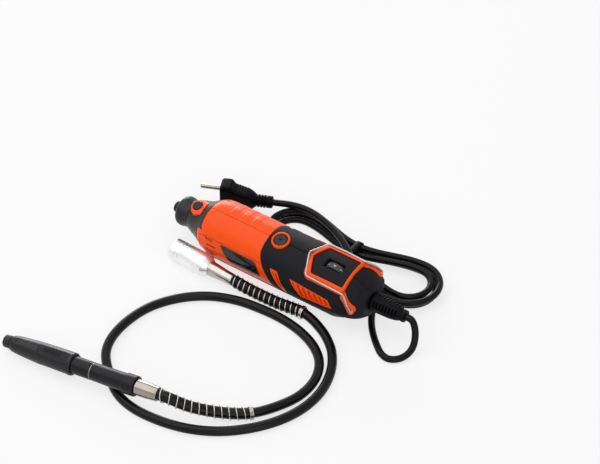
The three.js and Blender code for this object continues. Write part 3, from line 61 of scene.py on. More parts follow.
# ---------------------------------------------------------------------------- finishes
def srgb(code: int) -> tuple[float, float, float, float]:
    """Linear colour of a 0xRRGGBB code, by the sRGB curve."""
    parts = np.array([(code >> shift) & 255 for shift in (16, 8, 0)]) / 255.0
    linear = np.where(parts <= 0.04045, parts / 12.92, ((parts + 0.055) / 1.055) ** 2.4)
    return (*linear.tolist(), 1.0)


class Texture(Enum):
    """What leaves its marks on a surface."""

    MOULDED = "moulded"   # even grain of an eroded mould
    TURNED = "turned"     # fine rings round a lathe axis
    DRAWN = "drawn"       # streaks along the length


class NodeSheet:
    """A node material that is filled node by node."""

    def __init__(self, name: str) -> None:
        """Start an empty material with its output."""
        self.material = bpy.data.materials.new(name)
        self.material.use_nodes = True
        self.tree = self.material.node_tree
        self.tree.nodes.clear()
        self.output = self.tree.nodes.new("ShaderNodeOutputMaterial")

    def node(self, kind: str, settings: dict | None = None, **inputs: object) -> bpy.types.Node:
        """Add one node.

        Args:
            kind: node type without its ShaderNode prefix.
            settings: attributes of the node itself.
            inputs: socket values or sockets to link, under the input's name with underscores for spaces,
                or under n and its number.

        Returns:
            The new node.
        """
        added = self.tree.nodes.new("ShaderNode" + kind)
        for key, value in (settings or {}).items():
            setattr(added, key, value)
        for key, value in inputs.items():
            numbered = key[0] == "n" and key[1:].isdigit()
            socket = added.inputs[int(key[1:]) if numbered else key.replace("_", " ")]
            if isinstance(value, bpy.types.NodeSocket):
                self.tree.links.new(value, socket)
            else:
                socket.default_value = value
        return added


@dataclass(frozen=True)
class Finish:
    """A surface: its colour and how it wanders, its grain, gloss, worn edges and painted shade in narrow
    hollows.
    """

    name: str
    colour: int
    roughness: float
    metallic: float = 0.0
    grain: float = 0.012          # height of the grain, mm
    pitch: float = 0.5            # size of the grain, mm
    mottle: float = 0.2           # share by which the colour wanders
    patch: float = 11.0           # size of that wander, mm
    worn: int = 0xffffff          # colour where edges are rubbed
    wear: float = 0.3             # strength of the rubbing
    edge: float = 0.3             # radius of softened edges, mm
    spread: float = 0.10          # how far the roughness wanders
    gleam: float = 0.5            # strength of the plain reflection
    # painted shade: strength by which the colour is darkened where ambient occlusion finds narrow hollows
    hollow: float = 0.0           # darkening of narrow hollows
    texture: Texture = Texture.MOULDED

    def material(self) -> bpy.types.Material:
        """The finish as a node material, made once."""
        known = bpy.data.materials.get(self.name)
        if known is not None:
            return known
        sheet = NodeSheet(self.name)
        place = sheet.node("TexCoord")
        broad = sheet.node("TexNoise", Vector=place.outputs["Object"], Scale=1 / (self.patch * MM),
                           Detail=3.0, Roughness=0.6).outputs["Fac"]
        fine = self._grain(sheet, place)
        soft = sheet.node("Bevel", {"samples": 4}, Radius=self.edge * MM)
        flat = sheet.node("NewGeometry")
        level = sheet.node("VectorMath", {"operation": "DOT_PRODUCT"},
                           n0=soft.outputs["Normal"], n1=flat.outputs["Normal"])
        rim = sheet.node("MapRange", Value=level.outputs["Value"], From_Min=0.995, From_Max=0.86,
                         To_Min=0.0, To_Max=self.wear)
        rubbed = sheet.node("Math", {"operation": "MULTIPLY"}, n0=rim.outputs["Result"], n1=broad)
        rubbed = sheet.node("Math", {"operation": "MULTIPLY"}, n0=rubbed.outputs[0], n1=2.0)
        shade = sheet.node("MapRange", Value=broad, From_Min=0.3, From_Max=0.7)
        base = np.array(srgb(self.colour)[:3])
        low = (*(base * (1 - self.mottle)).tolist(), 1.0)
        high = (*np.clip(base * (1 + self.mottle), 0, 1).tolist(), 1.0)
        plain = sheet.node("Mix", {"data_type": "RGBA"}, n0=shade.outputs["Result"], n6=low, n7=high)
        colour = sheet.node("Mix", {"data_type": "RGBA"}, n0=rubbed.outputs[0],
                            n6=plain.outputs[2], n7=srgb(self.worn))
        # Painted shade: ambient occlusion darkens the colour in narrow hollows and creases, towards a darker,
        # redder copy of the base colour.
        if self.hollow:
            open_sky = sheet.node("AmbientOcclusion", {"samples": 6}, Distance=2.6 * MM)
            deep = sheet.node("MapRange", Value=open_sky.outputs["AO"], From_Min=0.92, From_Max=0.35,
                              To_Min=0.0, To_Max=self.hollow)
            hollow_shade_colour = (*(base * (0.62, 0.3, 0.3)).tolist(), 1.0)
            colour = sheet.node("Mix", {"data_type": "RGBA"}, n0=deep.outputs["Result"],
                                n6=colour.outputs[2], n7=hollow_shade_colour)
        mixed = sheet.node("Mix", {"data_type": "FLOAT"}, n0=0.5, n2=fine, n3=broad)
        gloss = sheet.node("MapRange", Value=mixed.outputs[0], From_Min=0.3, From_Max=0.7,
                           To_Min=max(self.roughness - self.spread, 0.03),
                           To_Max=self.roughness + self.spread)
        relief = sheet.node("Bump", Strength=1.0, Distance=self.grain * MM, Height=fine,
                            Normal=soft.outputs["Normal"])
        shader = sheet.node("BsdfPrincipled", Base_Color=colour.outputs[2], Metallic=self.metallic,
                            Roughness=gloss.outputs["Result"], Normal=relief.outputs["Normal"],
                            Specular_IOR_Level=self.gleam)
        sheet.tree.links.new(shader.outputs["BSDF"], sheet.output.inputs["Surface"])
        return sheet.material

    def put_on(self, piece: bpy.types.Object) -> None:
        """Make this the only material of a piece."""
        piece.data.materials.clear()
        piece.data.materials.append(self.material())

    def _grain(self, sheet: NodeSheet, place: bpy.types.Node) -> bpy.types.NodeSocket:
        """Noise of the grain: even, or drawn out round or along the piece by its own UV map.

        Args:
            sheet: the material being filled.
            place: its texture coordinate node.

        Returns:
            The socket of the grain's height, from 0 to 1.
        """
        if self.texture is Texture.MOULDED:
            return sheet.node("TexNoise", Vector=place.outputs["Object"], Scale=1 / (self.pitch * MM),
                              Detail=4.0, Roughness=0.65).outputs["Fac"]
        stretch = (1 / self.pitch, 2.5, 1.0) if self.texture is Texture.TURNED else (0.05, 46.0, 1.0)
        drawn = sheet.node("Mapping", Vector=place.outputs["UV"], Scale=stretch)
        return sheet.node("TexNoise", Vector=drawn.outputs["Vector"], Scale=1.0, Detail=3.0).outputs["Fac"]


ORANGE = Finish("orange_moulding", 0xff5203, 0.30, grain=0.004, pitch=0.45, mottle=0.03, worn=0xffb596,
                wear=0.45, gleam=0.22, hollow=1.0)
RIM_ORANGE = Finish("orange_trim", 0xff5203, 0.32, grain=0.004, pitch=0.4, mottle=0.04, worn=0xffa27c,
                    wear=0.35, edge=0.25, gleam=0.22, hollow=0.6)
NOSE_BLACK = Finish("nose_moulding", 0x141418, 0.30, grain=0.006, pitch=0.4, mottle=0.15, worn=0x55555c,
                    wear=0.25, edge=0.35, gleam=0.36)
CAP_BLACK = Finish("cap_moulding", 0x141419, 0.36, grain=0.006, pitch=0.35, mottle=0.15, worn=0x66666c,
                   gleam=0.36)
OVERMOULD = Finish("soft_overmould", 0x131319, 0.58, grain=0.05, pitch=0.62, mottle=0.15, worn=0x4a4a50,
                   wear=0.25, edge=0.35, gleam=0.16, hollow=0.9)
PANEL_BLACK = Finish("speed_panel_moulding", 0x111116, 0.5, grain=0.045, mottle=0.15, worn=0x55575e,
                     gleam=0.14, hollow=0.9)
PLATE_BLACK = Finish("nameplate_gloss", 0x0e0e11, 0.16, grain=0.001, pitch=2.0, worn=0x44464a, wear=0.2,
                     spread=0.05)
BUTTON_BLACK = Finish("button_moulding", 0x101013, 0.30, grain=0.004, pitch=0.4, worn=0x66666c, wear=0.4,
                      gleam=0.34)
HOSE_BLACK = Finish("hose_sheath", 0x060608, 0.25, grain=0.006, pitch=1.1, worn=0x3c3c40, wear=0.1, edge=0.2,
                    spread=0.05, gleam=0.2)
CORD_BLACK = Finish("cord_sheath", 0x060608, 0.30, grain=0.008, pitch=0.8, worn=0x3c3c40, wear=0.1, edge=0.2,
                    gleam=0.16)
GUARD_BLACK = Finish("guard_sheath", 0x070708, 0.48, grain=0.02, pitch=0.7, worn=0x303034, wear=0.15,
                     edge=0.2, gleam=0.16)
PLUG_BLACK = Finish("plug_rubber", 0x050507, 0.46, grain=0.025, pitch=0.6, worn=0x3a3a40, wear=0.2, edge=0.5,
                    gleam=0.07)
RELIEF_BLACK = Finish("relief_rubber", 0x07070b, 0.48, grain=0.02, worn=0x3c3c42, wear=0.2, gleam=0.09,
                      hollow=1.0)
HANDPIECE_BLACK = Finish("handpiece_moulding", 0x0d0d12, 0.34, grain=0.003, pitch=0.45, mottle=0.15,
                         worn=0x55555c, wear=0.25, edge=0.35, gleam=0.36)
BARREL_BLACK = Finish("barrel_anodised", 0x0e0e13, 0.36, metallic=0.05, grain=0.001, pitch=0.4, mottle=0.15,
                      worn=0x77777e, wear=0.35, edge=0.25, gleam=0.24, texture=Texture.TURNED)
PAD_BLACK = Finish("grip_pad", 0x24242b, 0.6, grain=0.03, worn=0x4c4c52, edge=0.2, gleam=0.2, hollow=1.0)
ALUMINIUM = Finish("turned_aluminium", 0xf4f4f5, 0.30, metallic=0.85, grain=0.003, pitch=0.22, mottle=0.03,
                   wear=0.4, edge=0.2, texture=Texture.TURNED)
POLISHED = Finish("polished_steel", 0xb9b4af, 0.16, metallic=1.0, grain=0.0015, pitch=0.35, mottle=0.1,
                  edge=0.2, spread=0.06, texture=Texture.TURNED)
NICKEL = Finish("nickel_plate", 0x9c948b, 0.2, metallic=1.0, grain=0.002, pitch=0.4, mottle=0.08,
                worn=0xf2ece2, edge=0.25, spread=0.07, texture=Texture.DRAWN)
SPRING = Finish("spring_wire", 0xc9c3bd, 0.22, metallic=1.0, grain=0.002, pitch=0.3, mottle=0.1, wear=0.2,
                edge=0.1, spread=0.08, texture=Texture.DRAWN)
WIRE = Finish("bail_wire", 0xa9a7a4, 0.26, metallic=1.0, grain=0.004, pitch=0.4, mottle=0.1, edge=0.15,
              texture=Texture.DRAWN)
DIAL_GREY = Finish("dial_moulding", 0x3b3c40, 0.42, grain=0.006, pitch=0.35, mottle=0.1, worn=0x8d8f94,
                   wear=0.4, edge=0.2, gleam=0.4)
DIAL_MARK = Finish("dial_print", 0xd9d9d6, 0.5, grain=0.002, pitch=0.3, mottle=0.05, wear=0.0, edge=0.05)
BLUED = Finish("blued_steel", 0x1d1e22, 0.34, metallic=0.6, grain=0.003, pitch=0.3, mottle=0.15,
               worn=0x85878c, wear=0.5, edge=0.25, gleam=0.4, texture=Texture.TURNED)
STEEL = Finish("machined_steel", 0xb4b7bb, 0.28, metallic=1.0, grain=0.004, pitch=0.4, mottle=0.1,
               worn=0xf0f0f2, wear=0.4, edge=0.2)
COPPER = Finish("enamelled_copper", 0xa8551f, 0.3, metallic=0.9, grain=0.03, worn=0xe09a64, edge=0.2)
BRASS = Finish("brass_sheet", 0xc49a45, 0.3, metallic=1.0, grain=0.004, mottle=0.1, worn=0xf0d694, wear=0.4,
               edge=0.2)
CARBON = Finish("carbon_block", 0x202023, 0.6, grain=0.03, pitch=0.3, mottle=0.25, worn=0x66666a, edge=0.2,
                gleam=0.3)
FAN_GREY = Finish("fan_moulding", 0x232327, 0.5, grain=0.02, worn=0x6a6a70, edge=0.2, gleam=0.3)
BOARD = Finish("board_laminate", 0x1d5c33, 0.45, grain=0.01, pitch=0.8, worn=0x7fae8c, wear=0.2, edge=0.1)


# ---------------------------------------------------------------------------- surfaces
def read(profile: Sequence[Sequence[float]], x: Array) -> Array:
    """Read an (x, value) profile on a smooth curve that never overshoots its points.

    Piecewise cubic through the points, its slopes the weighted harmonic mean of the neighbouring
    chords, or zero where these change sign.

    Args:
        profile: points in rising x.
        x: where to read.

    Returns:
        Values in the shape of x.
    """
    xs, ys = np.array(profile, float).T
    step = np.diff(xs)
    chord = np.diff(ys) / step
    slope = np.concatenate([chord[:1], np.zeros(len(xs) - 2), chord[-1:]])
    a, b = 2 * step[1:] + step[:-1], step[1:] + 2 * step[:-1]
    same = chord[:-1] * chord[1:] > 0
    with np.errstate(divide="ignore", invalid="ignore"):
        mean = (a + b) / (a / chord[:-1] + b / chord[1:])
    slope[1:-1] = np.where(same, mean, 0.0)
    x = np.asarray(x, float)
    i = np.clip(np.searchsorted(xs, x, side="right") - 1, 0, len(xs) - 2)
    t = np.clip((x - xs[i]) / step[i], 0, 1)
    return ((1 + 2 * t) * (1 - t) ** 2 * ys[i] + t * (1 - t) ** 2 * step[i] * slope[i]
            + t * t * (3 - 2 * t) * ys[i + 1] - t * t * (1 - t) * step[i] * slope[i + 1])


def smoothstep(low: float, high: float, x: Array) -> Array:
    """Rise from 0 at low to 1 at high along 3t^2 - 2t^3."""
    t = np.clip((np.asarray(x, float) - low) / (high - low), 0, 1)
    return t * t * (3 - 2 * t)


def blend(start: Array | float, end: Array | float, share: float) -> Array:
    """Mix of two values, from the first at share 0 to the second at share 1."""
    return start * (1 - share) + end * share


def round_turn(count: int) -> Array:
    """Even angles round one turn, the first at 0."""
    return 2 * np.pi * np.arange(count) / count


def circle(x: float, y: float, radius: float, count: int = 72) -> Array:
    """Outline of a circle."""
    angle = round_turn(count)
    return np.stack([x + radius * np.cos(angle), y + radius * np.sin(angle)], axis=-1)


def fillet(points: Sequence[Sequence[float]], radius: float, steps: int = 5, closed: bool = False,
           edge_steps: int = 1) -> Array:
    """Round the corners of a polyline, each by a quadratic curve tangent to both its edges.

    Args:
        points: corners in two or three dimensions.
        radius: reach of the rounding along each edge, at most 0.45 of it.
        steps: pieces in each corner.
        closed: whether the last point joins the first.
        edge_steps: pieces in each straight stretch.

    Returns:
        The rounded points, always of the same count for the same steps.
    """
    corner = np.array(points, float)
    before, after = np.roll(corner, 1, 0), np.roll(corner, -1, 0)
    back, ahead = before - corner, after - corner
    back_length = np.linalg.norm(back, axis=1, keepdims=True)
    ahead_length = np.linalg.norm(ahead, axis=1, keepdims=True)
    reach = np.minimum(radius, 0.45 * np.minimum(back_length, ahead_length))
    start, end = corner + back / back_length * reach, corner + ahead / ahead_length * reach
    t = np.linspace(0, 1, steps + 1)[None, :, None]
    bend = (1 - t) ** 2 * start[:, None] + 2 * t * (1 - t) * corner[:, None] + t * t * end[:, None]
    s = np.linspace(0, 1, edge_steps + 1)[None, 1:-1, None]
    run = end[:, None] * (1 - s) + np.roll(start, -1, 0)[:, None] * s
    if closed:
        return np.concatenate([bend, run], axis=1).reshape(-1, corner.shape[1])
    whole = np.concatenate([bend, run], axis=1)[1:-1].reshape(-1, corner.shape[1])
    return np.concatenate([corner[:1], whole, corner[-1:]])


def catmull_rom(points: Array, per_span: int = 24) -> Array:
    """Centripetal Catmull-Rom curve, its ends carried on by mirroring the last point.

    Args:
        points: what the curve goes through.
        per_span: samples between neighbours.

    Returns:
        Samples along the curve, not evenly spaced.
    """
    p = np.concatenate([[2 * points[0] - points[1]], points, [2 * points[-1] - points[-2]]])
    dt = np.sqrt(np.linalg.norm(np.diff(p, axis=0), axis=1))[:, None]
    d0, d1, d2 = dt[:-2], dt[1:-1], dt[2:]
    a, b, c, d = p[:-3], p[1:-2], p[2:-1], p[3:]
    out = ((b - a) / d0 - (c - a) / (d0 + d1) + (c - b) / d1) * d1
    into = ((c - b) / d1 - (d - b) / (d1 + d2) + (d - c) / d2) * d1
    t = (np.arange(per_span) / per_span)[None, :, None]
    b, c, out, into = (v[:, None] for v in (b, c, out, into))
    curve = b + out * t + (3 * (c - b) - 2 * out - into) * t ** 2 + (2 * (b - c) + out + into) * t ** 3
    return np.concatenate([curve.reshape(-1, 3), points[-1:]])


def arc_lengths(path: Array) -> Array:
    """Distance along a path at each of its points."""
    return np.concatenate([[0.0], np.cumsum(np.linalg.norm(np.diff(path, axis=0), axis=1))])


def at_lengths(path: Array, where: Array) -> Array:
    """Points of a path at the given distances along it."""
    along = arc_lengths(path)
    return np.stack([np.interp(where, along, path[:, k]) for k in range(3)], axis=-1)


def even(path: Array, step: float) -> Array:
    """The same path with its points about one step apart."""
    total = arc_lengths(path)[-1]
    return at_lengths(path, np.linspace(0, total, max(int(round(total / step)), 2) + 1))


def unit(vectors: Array) -> Array:
    """The same directions with length 1."""
    return vectors / np.linalg.norm(vectors, axis=-1, keepdims=True)


def upright_frames(path: Array) -> tuple[Array, Array]:
    """Level side and upward direction across a path, from its tangent and the vertical.

    Returns:
        The side vectors, square to the vertical, and tangent cross side.
    """
    tangent = unit(np.gradient(path, axis=0))
    side = unit(np.cross([0.0, 0.0, 1.0], tangent))
    return side, np.cross(tangent, side)


def around_x(x: Array, radius: Array, angle: Array) -> Array:
    """Points at x and at a radius from the X axis, by their angle from the top towards -Y."""
    return np.stack(np.broadcast_arrays(x, -radius * np.sin(angle), radius * np.cos(angle)), axis=-1)


@dataclass
class Solid:
    """A closed surface: points in millimetres, faces, and where each face corner lies on its grid."""

    points: Array
    faces: list[list[int]]
    corners: list[list[tuple[float, float]]] = field(default_factory=list)

    def oriented(self) -> "Solid":
        """The same surface with its faces pointing out, by the sign of the volume they enclose."""
        volume = 0.0
        by_count: dict[int, list[list[int]]] = {}
        for face in self.faces:
            by_count.setdefault(len(face), []).append(face)
        for count, group in by_count.items():
            corner = self.points[np.array(group)]
            for k in range(1, count - 1):
                volume += np.einsum("ij,ij->", corner[:, 0], np.cross(corner[:, k], corner[:, k + 1]))
        if volume >= 0:
            return self
        return Solid(self.points, [face[::-1] for face in self.faces], [c[::-1] for c in self.corners])


def merged(*solids: Solid) -> Solid:
    """Several closed surfaces as one."""
    faces: list[list[int]] = []
    corners: list[list[tuple[float, float]]] = []
    start = 0
    for solid in solids:
        faces += [[index + start for index in face] for face in solid.faces]
        corners += solid.corners
        start += len(solid.points)
    return Solid(np.concatenate([solid.points for solid in solids]), faces, corners)


def lofted(points: Array, loop: bool = False, ngon: bool = False) -> Solid:
    """Close a grid whose columns go round: by fans or flat faces over its ends, or end to end.

    Args:
        points: rows x columns x 3, the last column next to the first.
        loop: join the last row to the first in place of closing the ends.
        ngon: close the ends with one flat face each, for outlines that aren't convex.

    Returns:
        The closed surface; its grid place is the distance along the rows and the share round them.
    """
    rows, cols = points.shape[:2]
    i = np.arange(rows if loop else rows - 1)[:, None]
    j = np.arange(cols)[None, :]
    k, n = (j + 1) % cols, (i + 1) % rows
    quads = np.stack([i * cols + j, i * cols + k, n * cols + k, n * cols + j], axis=-1).reshape(-1, 4)
    middle = points.mean(axis=1)
    radial = np.linalg.norm(points - middle[:, None], axis=2).mean(axis=1)
    along = np.concatenate([[0.0], np.cumsum(np.hypot(
        np.linalg.norm(np.diff(middle, axis=0), axis=1), np.diff(radial)))])
    u = np.append(along, along[-1] + 1)
    ui, un = np.broadcast_arrays(u[i], j)[0], np.broadcast_arrays(u[i + 1], j)[0]
    vj, vk = np.broadcast_arrays(j / cols, i)[0], np.broadcast_arrays((j + 1) / cols, i)[0]
    uv = np.stack([np.stack([ui, vj], -1), np.stack([ui, vk], -1),
                   np.stack([un, vk], -1), np.stack([un, vj], -1)], axis=2).reshape(-1, 4, 2)
    faces, corners = quads.tolist(), uv.tolist()
    flat = points.reshape(-1, 3)
    if loop:
        return Solid(flat, faces, corners).oriented()
    last = (rows - 1) * cols
    ring = list(range(cols))
    if ngon:
        faces += [ring[::-1], [last + r for r in ring]]
        corners += [[(along[0], r / cols) for r in ring[::-1]], [(along[-1], r / cols) for r in ring]]
        return Solid(flat, faces, corners).oriented()
    hub = len(flat)
    flat = np.concatenate([flat, middle[[0, -1]]])
    for r in ring:
        s = (r + 1) % cols
        faces += [[hub, s, r], [hub + 1, last + r, last + s]]
        corners += [[(along[0], (r + 0.5) / cols), (along[0], (r + 1) / cols), (along[0], r / cols)],
                    [(along[-1], (r + 0.5) / cols), (along[-1], r / cols), (along[-1], (r + 1) / cols)]]
    return Solid(flat, faces, corners).oriented()


def sheet(outer: Array, inner: Array) -> Solid:
    """Close two open grids of the same size into a wall, by strips along their four borders.

    Args:
        outer: rows x columns x 3 of the outer face.
        inner: the same of the inner face.

    Returns:
        The closed wall.
    """
    rows, cols = outer.shape[:2]
    i, j = np.arange(rows - 1)[:, None], np.arange(cols - 1)[None, :]
    quads = np.stack([i * cols + j, i * cols + j + 1, (i + 1) * cols + j + 1, (i + 1) * cols + j],
                     axis=-1).reshape(-1, 4)
    half = rows * cols
    border = np.concatenate([np.arange(cols - 1), np.arange(rows - 1) * cols + cols - 1,
                             half - 1 - np.arange(cols - 1), (rows - 1 - np.arange(rows - 1)) * cols])
    follow = np.roll(border, -1)
    rim = np.stack([follow, border, border + half, follow + half], axis=-1)
    faces = np.concatenate([quads, quads[:, ::-1] + half, rim])
    points = np.concatenate([outer.reshape(-1, 3), inner.reshape(-1, 3)])
    grid = np.stack([points[:, 0], np.arctan2(points[:, 1], points[:, 2])], axis=-1)
    return Solid(points, faces.tolist(), grid[faces].tolist()).oriented()


def lathe(profile: Array, sides: int = 96, wobble: Array | None = None) -> Solid:
    """Turn an (x, radius) profile round the X axis.

    Args:
        profile: points; where both ends lie on the axis the solid is full, else it is a closed ring.
        sides: columns round the axis.
        wobble: factor on the radius for each column, or for each point and column.

    Returns:
        The closed surface.
    """
    profile = np.array(profile, float)
    full = profile[0, 1] < 1e-6 and profile[-1, 1] < 1e-6
    rows = profile[1:-1] if full else profile
    angle = round_turn(sides)
    radius = rows[:, 1, None] * (1.0 if wobble is None else wobble)
    return lofted(around_x(rows[:, 0, None], radius, angle), loop=not full)


def tube_profile(outer: Sequence[Sequence[float]], inner: Sequence[Sequence[float]],
                 corner: float = 0.3, steps: int = 3) -> Array:
    """Closed profile of a turned tube, outside forward and inside back, with its corners rounded."""
    return fillet([*outer, *reversed(inner)], corner, steps, closed=True)


def tube(line: Array, first: Array, second: Array, radius: float | Array, sides: int) -> Solid:
    """Carry a circle along a line.

    Args:
        line: centreline.
        first: one direction across the line, at each of its points.
        second: the other, square to it.
        radius: of the tube, for all of it or for each point.
        sides: columns round it.

    Returns:
        The closed tube.
    """
    angle = round_turn(sides)[:, None]
    spread = np.broadcast_to(np.asarray(radius, float), (len(line),))[:, None, None]
    return lofted(line[:, None] + spread * (first[:, None] * np.cos(angle) + second[:, None] * np.sin(angle)))


def swept(path: Array, radius: float | Array, sides: int) -> Solid:
    """Tube square to a path, with level and upright axes; its radius may change from point to point."""
    return tube(path, *upright_frames(path), radius, sides)


def prism(outline: Array, low: float, high: float, axis: str = "z") -> Solid:
    """Carry a flat outline along one axis.

    Args:
        outline: corners; (x, y) for axis z, (x, z) for axis y.
        low: where it starts.
        high: where it ends.
        axis: "z" or "y".

    Returns:
        The closed prism.
    """
    first, second = np.array(outline, float).T
    rows = []
    for level in (np.full(len(first), low), np.full(len(first), high)):
        rows.append(np.stack([first, second, level] if axis == "z" else [first, level, second], axis=-1))
    return lofted(np.stack(rows), ngon=True)


def block(x: tuple[float, float], y: tuple[float, float], z: tuple[float, float]) -> Solid:
    """Cutting block between three ranges."""
    return prism(np.array([[x[0], y[0]], [x[1], y[0]], [x[1], y[1]], [x[0], y[1]]]), z[0], z[1])


def moved(solid: Solid, matrix: Matrix) -> Solid:
    """The solid under a rigid motion."""
    m = np.array(matrix)
    return Solid(solid.points @ m[:3, :3].T + m[:3, 3], solid.faces, solid.corners).oriented()


# ---------------------------------------------------------------------------- objects
def raw_object(name: str, solid: Solid) -> bpy.types.Object:
    """A mesh object of a solid, still in millimetres."""
    mesh = bpy.data.meshes.new(name)
    mesh.from_pydata(solid.points.tolist(), [], solid.faces)
    if solid.corners:
        layer = mesh.uv_layers.new(name="surface")
        flat = np.array([pair for face in solid.corners for pair in face], float).ravel()
        layer.data.foreach_set("uv", flat)
    mesh.update()
    made = bpy.data.objects.new(name, mesh)
    bpy.context.scene.collection.objects.link(made)
    return made


def carved(name: str, base: Solid, *steps: tuple[str, Solid]) -> bpy.types.Object:
    """Cut, join or intersect a solid with others, one exact Boolean after another.

    Args:
        name: of the result.
        base: what is worked on.
        steps: pairs of DIFFERENCE, UNION or INTERSECT and the tool solid.

    Returns:
        The result as an object in millimetres.
    """
    body = raw_object(name, base)
    tools = []
    for operation, solid in steps:
        tool = raw_object(name + "_tool", solid)
        tools.append(tool)
        modifier = body.modifiers.new("cut", "BOOLEAN")
        modifier.operation = operation
        modifier.solver = "EXACT"
        modifier.object = tool
    if tools:
        graph = bpy.context.evaluated_depsgraph_get()
        result = bpy.data.meshes.new_from_object(body.evaluated_get(graph))
        body.modifiers.clear()
        body.data = result
        for tool in tools:
            bpy.data.objects.remove(tool)
        work = bmesh.new()
        work.from_mesh(result)
        bmesh.ops.dissolve_degenerate(work, dist=1e-4, edges=work.edges)
        work.to_mesh(result)
        work.free()
    return body


def dress(piece: bpy.types.Object, place: Matrix, finish: Finish, body: str, slot: str,
          *nodes: str, crease: float = 32.0) -> bpy.types.Object:
    """Carry a piece into the row frame, give it its finish, hang it on its body, and hide the CAD nodes that
    it stands for.

    Args:
        piece: object in millimetres of its sub-assembly.
        place: motion from the sub-assembly to the row frame, in millimetres.
        finish: its surface.
        body: body that it rides on.
        slot: not used.
        nodes: CAD nodes that it stands for.
        crease: angle in degrees past which an edge is sharp.

    Returns:
        The piece.
    """
    piece.data.transform(Matrix.Scale(MM, 4) @ place)
    piece.data.shade_smooth()
    piece.data.set_sharp_from_angle(angle=math.radians(crease))
    finish.put_on(piece)
    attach(piece, body)
    if nodes:
        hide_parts(*nodes)
    LOG.info("%s on %s: %d faces", piece.name, body, len(piece.data.polygons))
    return piece


def made(name: str, solid: Solid, place: Matrix, finish: Finish, body: str, slot: str,
         *nodes: str, crease: float = 32.0) -> bpy.types.Object:
    """A solid as a finished piece."""
    return dress(raw_object(name, solid), place, finish, body, slot, *nodes, crease=crease)


# ---------------------------------------------------------------------------- places
def row_shift() -> Vector:
    """Shift of the assembly in the row frame, in millimetres, read from where the spindle lies."""
    low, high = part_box("spindle")
    return Vector((low[0] / MM - 5.0, (low[1] + high[1]) / 2 / MM, 0.0))


SHIFT = Matrix.Translation(row_shift())
REST_DISTANCE = 26.6            # from the tool's axis to either of its two resting flats
ROLL = math.radians(15)         # by which the tool leans on one of them
STANDING = Matrix.Translation((0, 0, REST_DISTANCE)) @ Matrix.Rotation(ROLL, 4, "X")
TOOL = SHIFT @ STANDING


def along_axis(start: Vector, aim: Vector) -> Matrix:
    """Place whose +X runs from one point towards another, with a level Y."""
    forward = (aim - start).normalized()
    side = Vector((0, 0, 1)).cross(forward).normalized()
    basis = Matrix((forward, side, forward.cross(side))).transposed().to_4x4()
    return SHIFT @ Matrix.Translation(start) @ basis


COUPLING_MOUTH, HANDPIECE_TIP = Vector((21.5, -33, 10.6)), Vector((-21.5, -209, 8.2))
COUPLING_AIM = COUPLING_MOUTH + Vector((65.5, -2.6, 0)).normalized() * 65.3
HANDPIECE_AIM = HANDPIECE_TIP + Vector((153.1, 16.5, 12.3)).normalized() * 154.3
COUPLING = along_axis(COUPLING_MOUTH, COUPLING_AIM) @ Matrix.Translation((2.6, 0, 0))
HANDPIECE = along_axis(HANDPIECE_TIP, HANDPIECE_AIM)


